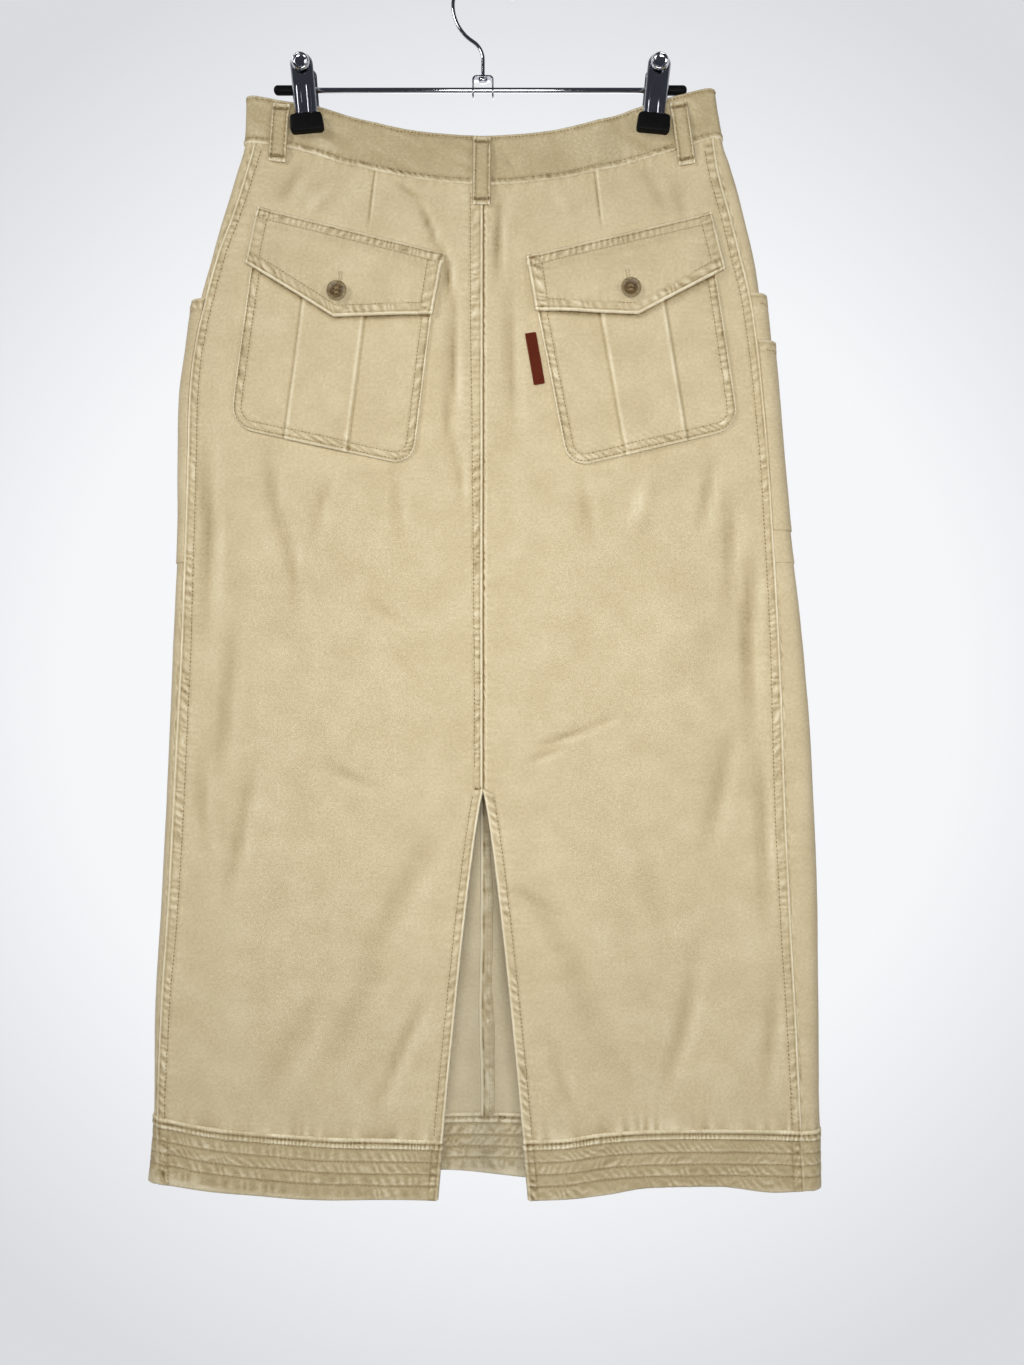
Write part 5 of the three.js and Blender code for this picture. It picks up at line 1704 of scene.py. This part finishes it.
def bracket():
    """A strap of sheet bent to a U over the bar, with the hook's foot riveted through its top."""
    piece = start_with(bpy.ops.mesh.primitive_plane_add, "hook_bracket", size=1, location=(0, 0, 0))
    piece.data.transform(Matrix.Translation((0, 0, -76.2)) @ Matrix.Diagonal((14.8, 8, 1, 1)))
    edit(True)
    for sign in (-1, 1):
        choose(piece, "edges", lambda edge: all(v.co.x * sign > 7 and v.co.z > -77 for v in edge.verts))
        bpy.ops.mesh.extrude_region_move(TRANSFORM_OT_translate={"value": (0, 0, -12)})
        bpy.ops.mesh.extrude_region_move(TRANSFORM_OT_translate={"value": (0, 0, -2.6)})
        bpy.ops.transform.resize(value=(1, 0.45, 1))

    def on_arm(edge):
        across = abs(sum(v.co.x for v in edge.verts))
        return all(v.co.z > -77 for v in edge.verts) and across > 14

    choose(piece, "edges", on_arm)
    bpy.ops.mesh.bevel(offset=2.6, segments=5)
    edit(False)
    apply_modifier(piece, "SOLIDIFY", thickness=1.2, offset=0)
    round_edges(piece, 0.25, 2)
    rivet = cylinder("hook_rivet", 3.4, 2.2, (0, 0, -78), "Z", 24)
    edit(True)
    choose(rivet, "faces", lambda face: face.normal.z < -0.9)
    bpy.ops.mesh.bevel(offset=1.3, segments=4)
    edit(False)
    collar = cylinder("hook_collar", 2.5, 1.6, (0, 0, -75), "Z", 24)
    round_edges(collar, 0.4, 2)
    settle(join([piece, rivet, collar], "hook_bracket"), ["hanger_bracket"], STEEL)


PLATE_WIDTH, HEAD_RISE, PLATE_FOOT = 16.4, 43, 6.7
RIB_HEAD, RIB_FOOT = 27.5, 7.8
BEND_WAY = -1  # the arms' heads lean away from the cloth


def clip_plate(name):
    """One arm of a clip in its own frame: a round-headed strap with turned-back edges, cut across in rows so
    that bend_plate can lean it out at the top, two long ribs pressed into its lower half. It faces -Y."""
    piece = disc(name, PLATE_WIDTH / 2, 48, (0, 0, HEAD_RISE), "Y")
    edit(True)
    choose(piece, "verts", lambda v: v.co.z < HEAD_RISE - 0.01)
    bpy.ops.transform.resize(value=(1, 1, 0), center_override=(0, 0, HEAD_RISE))
    bpy.ops.mesh.select_all(action="SELECT")
    bpy.ops.mesh.remove_doubles(threshold=0.001)
    choose(piece, "verts", lambda v: v.co.z < HEAD_RISE + 0.01)
    bpy.ops.transform.translate(value=(0, 0, PLATE_FOOT - HEAD_RISE))
    choose(piece, "faces", lambda face: True)
    bpy.ops.mesh.inset(thickness=1.1, depth=0)
    choose(piece, "faces", lambda face: face.calc_area() > 200)
    bpy.ops.transform.translate(value=(0, -1.3, 0))
    for z in np.arange(PLATE_FOOT + 3, HEAD_RISE + 6, 3.0):
        bpy.ops.mesh.select_all(action="SELECT")
        bpy.ops.mesh.bisect(plane_co=(0, 0, z), plane_no=(0, 0, 1))
    edit(False)
    apply_modifier(piece, "SOLIDIFY", thickness=0.9, offset=0)
    round_edges(piece, 0.35, 3, 25)
    ribs = []
    for x in (-3.6, 3.6):
        rib = disc("rib", 1.75, 20, (x, -1.55, RIB_HEAD), "Y")
        edit(True)
        choose(rib, "verts", lambda v: v.co.z < RIB_HEAD - 0.1)
        bpy.ops.transform.translate(value=(0, 0, RIB_FOOT - RIB_HEAD))
        choose(rib, "faces", lambda face: True)
        bpy.ops.mesh.extrude_region_move(TRANSFORM_OT_translate={"value": (0, -0.15, 0)})
        bpy.ops.mesh.inset(thickness=0.42, depth=0)
        bpy.ops.transform.translate(value=(0, -0.75, 0))
        bpy.ops.mesh.select_all(action="SELECT")
        bpy.ops.mesh.normals_make_consistent(inside=False)
        edit(False)
        round_edges(rib, 0.1, 2, 30)
        ribs.append(rib)
    return join([piece, *ribs], name)


def bend_plate(piece):
    """The arm leans out from its middle to its head."""
    edit(True)
    for level, lean in ((29, 3), (34, 3.5), (38, 3)):
        choose(piece, "verts", lambda v: v.co.z > level)
        turn = BEND_WAY * math.radians(lean)
        bpy.ops.transform.rotate(value=turn, orient_axis="X", center_override=(0, 0, level))
    edit(False)


def eyelet(name):
    """The pressed eyelet in a clip's head: a rolled rim round a dished middle."""
    piece = cylinder(name, 6.8, 2.2, (0, 0, 0), "Y", 40)
    edit(True)
    choose(piece, "faces", lambda face: face.normal.y < -0.9)
    bpy.ops.transform.resize(value=(0.82, 1, 0.82))
    bpy.ops.mesh.inset(thickness=0.7, depth=0)
    bpy.ops.mesh.inset(thickness=0.9, depth=0)
    bpy.ops.transform.translate(value=(0, 1.2, 0))
    bpy.ops.mesh.inset(thickness=1.5, depth=0)
    bpy.ops.transform.translate(value=(0, 0.35, 0))
    edit(False)
    round_edges(piece, 0.25, 3, 30)
    return piece


def clip_pad(name):
    """A rubber boot over an arm's foot, with a raised panel on its face."""
    piece = start_with(bpy.ops.mesh.primitive_cube_add, name, size=1, location=(0, 0, 0))
    piece.data.transform(Matrix.Translation((0, -6.4, 0.2)) @ Matrix.Diagonal((23.6, 6, 13, 1)))
    edit(True)
    choose(piece, "edges", lambda edge: abs(edge.verts[0].co.y - edge.verts[1].co.y) > 3)
    bpy.ops.mesh.bevel(offset=2.6, segments=5)
    choose(piece, "verts", lambda v: v.co.z < 0)
    bpy.ops.transform.resize(value=(1.04, 1, 1), center_override=(0, 0, 0))
    choose(piece, "faces", lambda face: face.normal.y < -0.9)
    bpy.ops.mesh.inset(thickness=1.4, depth=0)
    bpy.ops.transform.translate(value=(0, -0.5, 0))
    edit(False)
    round_edges(piece, 0.55, 3, 30)
    return piece


def clips():
    for word, (x, lean) in CLIPS.items():
        place = Matrix.Translation((x, 0, PAD_Z)) @ Matrix.Rotation(math.radians(lean), 4, "Y")
        for face, node_word in ((-1, "front"), (1, "back")):
            turn = Matrix.Identity(4) if face < 0 else Matrix.Rotation(math.pi, 4, "Z")
            arm = clip_plate(f"clip_arm_{word}_{node_word}")
            bend_plate(arm)
            stand = Matrix.Translation((0, -6.4, 0))
            settle(arm, [f"clip_{word}_{node_word}_plate"], STEEL, place @ turn @ stand, 30)
            pad = clip_pad(f"pad_{word}_{node_word}")
            settle(pad, [f"clip_{word}_{node_word}_pad"], RUBBER, place @ turn)
        rim = eyelet("clip_eyelet_" + word)
        tilt = Matrix.Rotation(math.radians(BEND_WAY * -9.5), 4, "X")
        lift = Matrix.Translation((0, -13.2, HEAD_RISE)) @ tilt
        settle(rim, [f"clip_{word}_rivet"], STEEL, place @ lift, 30)
        middle = x + math.tan(math.radians(lean)) * (ROD_Z - PAD_Z)
        barrel = cylinder("clip_spring_" + word, 4.6, 12, (middle, 0, ROD_Z), "X", 28)
        edit(True)
        choose(barrel, "faces", lambda f: abs(f.normal.x) > 0.9)
        bpy.ops.mesh.inset(thickness=1.2, depth=0)
        bpy.ops.transform.resize(value=(0.9, 1, 1), center_override=(middle, 0, ROD_Z))
        edit(False)
        round_edges(barrel, 0.4, 2)
        settle(barrel, [f"clip_{word}_barrel"], STEEL)


BUTTON_RADIUS, BUTTON_HEIGHT, HOLE_OUT = 7.5, 3, 1.6


def button(name, node, face, spot, out):
    """A four-hole button: a rounded rim, a dished middle, and thread through its holes."""
    body = cylinder(name, BUTTON_RADIUS, BUTTON_HEIGHT, (0, 0, BUTTON_HEIGHT / 2), "Z", 40)
    edit(True)
    choose(body, "faces", lambda f: f.normal.z > 0.9)
    bpy.ops.mesh.inset(thickness=1.9, depth=0)
    bpy.ops.mesh.inset(thickness=0.8, depth=0)
    bpy.ops.transform.translate(value=(0, 0, -1.0))
    choose(body, "faces", lambda f: f.normal.z < -0.9)
    bpy.ops.transform.resize(value=(0.84, 0.84, 1), center_override=(0, 0, 0))
    edit(False)
    round_edges(body, 0.5, 3, 28)
    for sx in (-1, 1):
        for sy in (-1, 1):
            drill = cylinder("drill", 0.95, 12, (HOLE_OUT * sx, HOLE_OUT * sy, 0), "Z", 14)
            apply_modifier(body, "BOOLEAN", operation="DIFFERENCE", object=drill, solver="EXACT")
            bpy.data.objects.remove(drill)
    base, up = face_frame(face, *np.array(spot, float))
    up = Vector(up)
    foot = Vector(base) + up * out
    place = Matrix.Translation(foot) @ up.to_track_quat("Z", "Y").to_matrix().to_4x4()
    settle(body, [node], HORN, place, 40)
    body.data.materials.append(HORN_DARK)
    for polygon in body.data.polygons:
        reach = polygon.center - foot * MM
        polygon.material_index = int((reach - reach.project(up)).length < 4.9 * MM and reach.dot(up) > 0.0)
    thread = cylinder(name + "_thread", 0.42, 3.4, (0, 0, 0), "X", 8)
    round_edges(thread, 0.3, 2, 20)
    threads = []
    for sy in (-1, 1):
        for shift in (-0.42, 0.42):
            copy = thread.copy()
            copy.data = thread.data.copy()
            bpy.context.scene.collection.objects.link(copy)
            copy.data.transform(Matrix.Translation((0, HOLE_OUT * sy + shift, BUTTON_HEIGHT - 0.75)))
            threads.append(copy)
    threads.append(cylinder(name + "_shank", 1.3, 3.0, (0, 0, 0.4), "Z", 12))
    bpy.data.objects.remove(thread)
    settle(join(threads, name + "_thread"), [], THREAD, place, 60)


def buttons():
    over_flap = ON_PANEL + CLOTH + PLEAT + LIFT + FLAP + LIFT
    for word in ("left", "right"):
        button("button_flap_" + word, "flap_button_" + word, -1, BACK_POCKETS[word]["button"], over_flap)
    button("button_waist", "waist_button", 1, (-14, -153), BAND / 2 + BAND + 2 * LIFT)


# ------------------------------------------------------------------ the studio


def soft_box(name, place, aim, size, power):
    light = bpy.data.lights.new(name, "AREA")
    light.shape, light.size, light.size_y, light.energy = "RECTANGLE", size[0], size[1], power
    lamp = bpy.data.objects.new(name, light)
    lamp.location = place
    lamp.rotation_euler = (Vector(aim) - Vector(place)).to_track_quat("-Z", "Y").to_euler()
    bpy.context.scene.collection.objects.link(lamp)


# The surround by how far round it lies from behind the camera, 0, to behind the skirt, 1: the first
# lights the pieces, the second is what shows between them.
SURROUND_LIGHT = ((0.45, (0.05, 0.053, 0.066, 1)), (0.8, (0.95, 0.96, 0.99, 1)))
SURROUND_SEEN = (
    (0.9, (0.7, 0.708, 0.735, 1)),
    (0.96, (0.92, 0.93, 0.948, 1)),
    (0.925, (0.785, 0.793, 0.82, 1)),
)


def studio():
    """A pale floor, a pale surround that is darker behind the camera, and soft lights."""
    bpy.ops.object.select_all(action="DESELECT")
    centre = (0.02, 0.05, -1.64)
    bpy.ops.mesh.primitive_circle_add(vertices=96, radius=0.62, fill_type="NGON", location=centre)
    floor = bpy.context.view_layer.objects.active
    floor.name = "floor"
    paint = Nodes("floor_paint")
    patches = paint.noise(paint.object_place(), 6.0)
    paint.feed(paint.mix("MIX", patches, (0.76, 0.77, 0.79, 1), (0.8, 0.81, 0.83, 1)), "Base Color")
    paint.set(Roughness=0.7)
    floor.data.materials.append(paint.material)

    world = bpy.data.worlds.new("studio")
    bpy.context.scene.world = world
    world.use_nodes = True
    tree = world.node_tree
    tree.nodes.clear()
    link = tree.links.new
    place = tree.nodes.new("ShaderNodeTexCoord")
    parts = tree.nodes.new("ShaderNodeSeparateXYZ")
    link(place.outputs["Generated"], parts.inputs[0])
    half = tree.nodes.new("ShaderNodeMath")
    half.operation = "MULTIPLY_ADD"
    half.inputs[1].default_value, half.inputs[2].default_value = 0.5, 0.5
    link(parts.outputs["Y"], half.inputs[0])
    mix = tree.nodes.new("ShaderNodeMixShader")
    link(tree.nodes.new("ShaderNodeLightPath").outputs["Is Camera Ray"], mix.inputs[0])
    for socket, stops in ((1, SURROUND_LIGHT), (2, SURROUND_SEEN)):
        ramp = tree.nodes.new("ShaderNodeValToRGB")
        for element, (position, colour) in zip(ramp.color_ramp.elements, stops):
            element.position, element.color = position, colour
        for position, colour in stops[2:]:
            ramp.color_ramp.elements.new(position).color = colour
        glow = tree.nodes.new("ShaderNodeBackground")
        link(half.outputs[0], ramp.inputs[0])
        link(ramp.outputs[0], glow.inputs[0])
        link(glow.outputs[0], mix.inputs[socket])
    link(mix.outputs[0], tree.nodes.new("ShaderNodeOutputWorld").inputs[0])

    aim = (0.02, 0, -0.5)
    soft_box("key", (-2.3, -1.9, 0.9), aim, (1.0, 1.2), 38)
    soft_box("fill", (1.9, -1.7, -0.4), aim, (0.7, 1.2), 12)
    soft_box("front", (0.04, -0.88, -0.47), (0.04, 0, -0.5), (0.4, 0.4), 5.9)
    soft_box("back", (0.2, 1.5, -0.2), aim, (1.2, 1.2), 6)


CAMERA_BACK, SEEN_HEIGHT = 0.78, 1.024  # metres from the hook's plane, and the height seen there


def camera():
    lens = bpy.data.cameras.new("camera")
    lens.sensor_fit, lens.sensor_height, lens.sensor_width = "VERTICAL", 36, 36
    lens.lens = 36 * CAMERA_BACK / SEEN_HEIGHT
    view = bpy.data.objects.new("camera", lens)
    view.location = (0.02175, -CAMERA_BACK, -0.5291)
    view.rotation_euler = (math.pi / 2, 0, 0)
    bpy.context.scene.collection.objects.link(view)
    bpy.context.scene.camera = view
    bpy.context.scene.view_settings.view_transform = "Standard"


def main():
    camera()
    studio()
    panels = {"back_left": back_panel(-1, "left"), "back_right": back_panel(1, "right")}
    panels |= {"front_left": front_panel(-1, "left"), "front_right": front_panel(1, "right")}
    stitch_panels(panels)
    vent_tack(panels["back_left"])
    seam_allowance(panels["front_left"])
    stitch_hems(hem_bands())
    stitch_waistband(waistband())
    for word in ("left", "right"):
        bag_row = len(SHEETS)
        stitch_back_pocket(back_pocket(word), word)
        stitch_flap(pocket_flap(word), word)
    for word in LOOPS:
        stitch_loop(belt_loop(word), word)
    for word in FRONT_POCKETS:
        stitch_front_pocket(front_pocket(word), word)
    fly_lap()
    tab = pocket_tab()
    SHEETS.pop()  # the tab is too narrow for a sheet of its own, so it goes with the right pocket
    SHEETS[bag_row][2].append(tab)
    buttons()
    hook()
    rod()
    bracket()
    clips()


main()
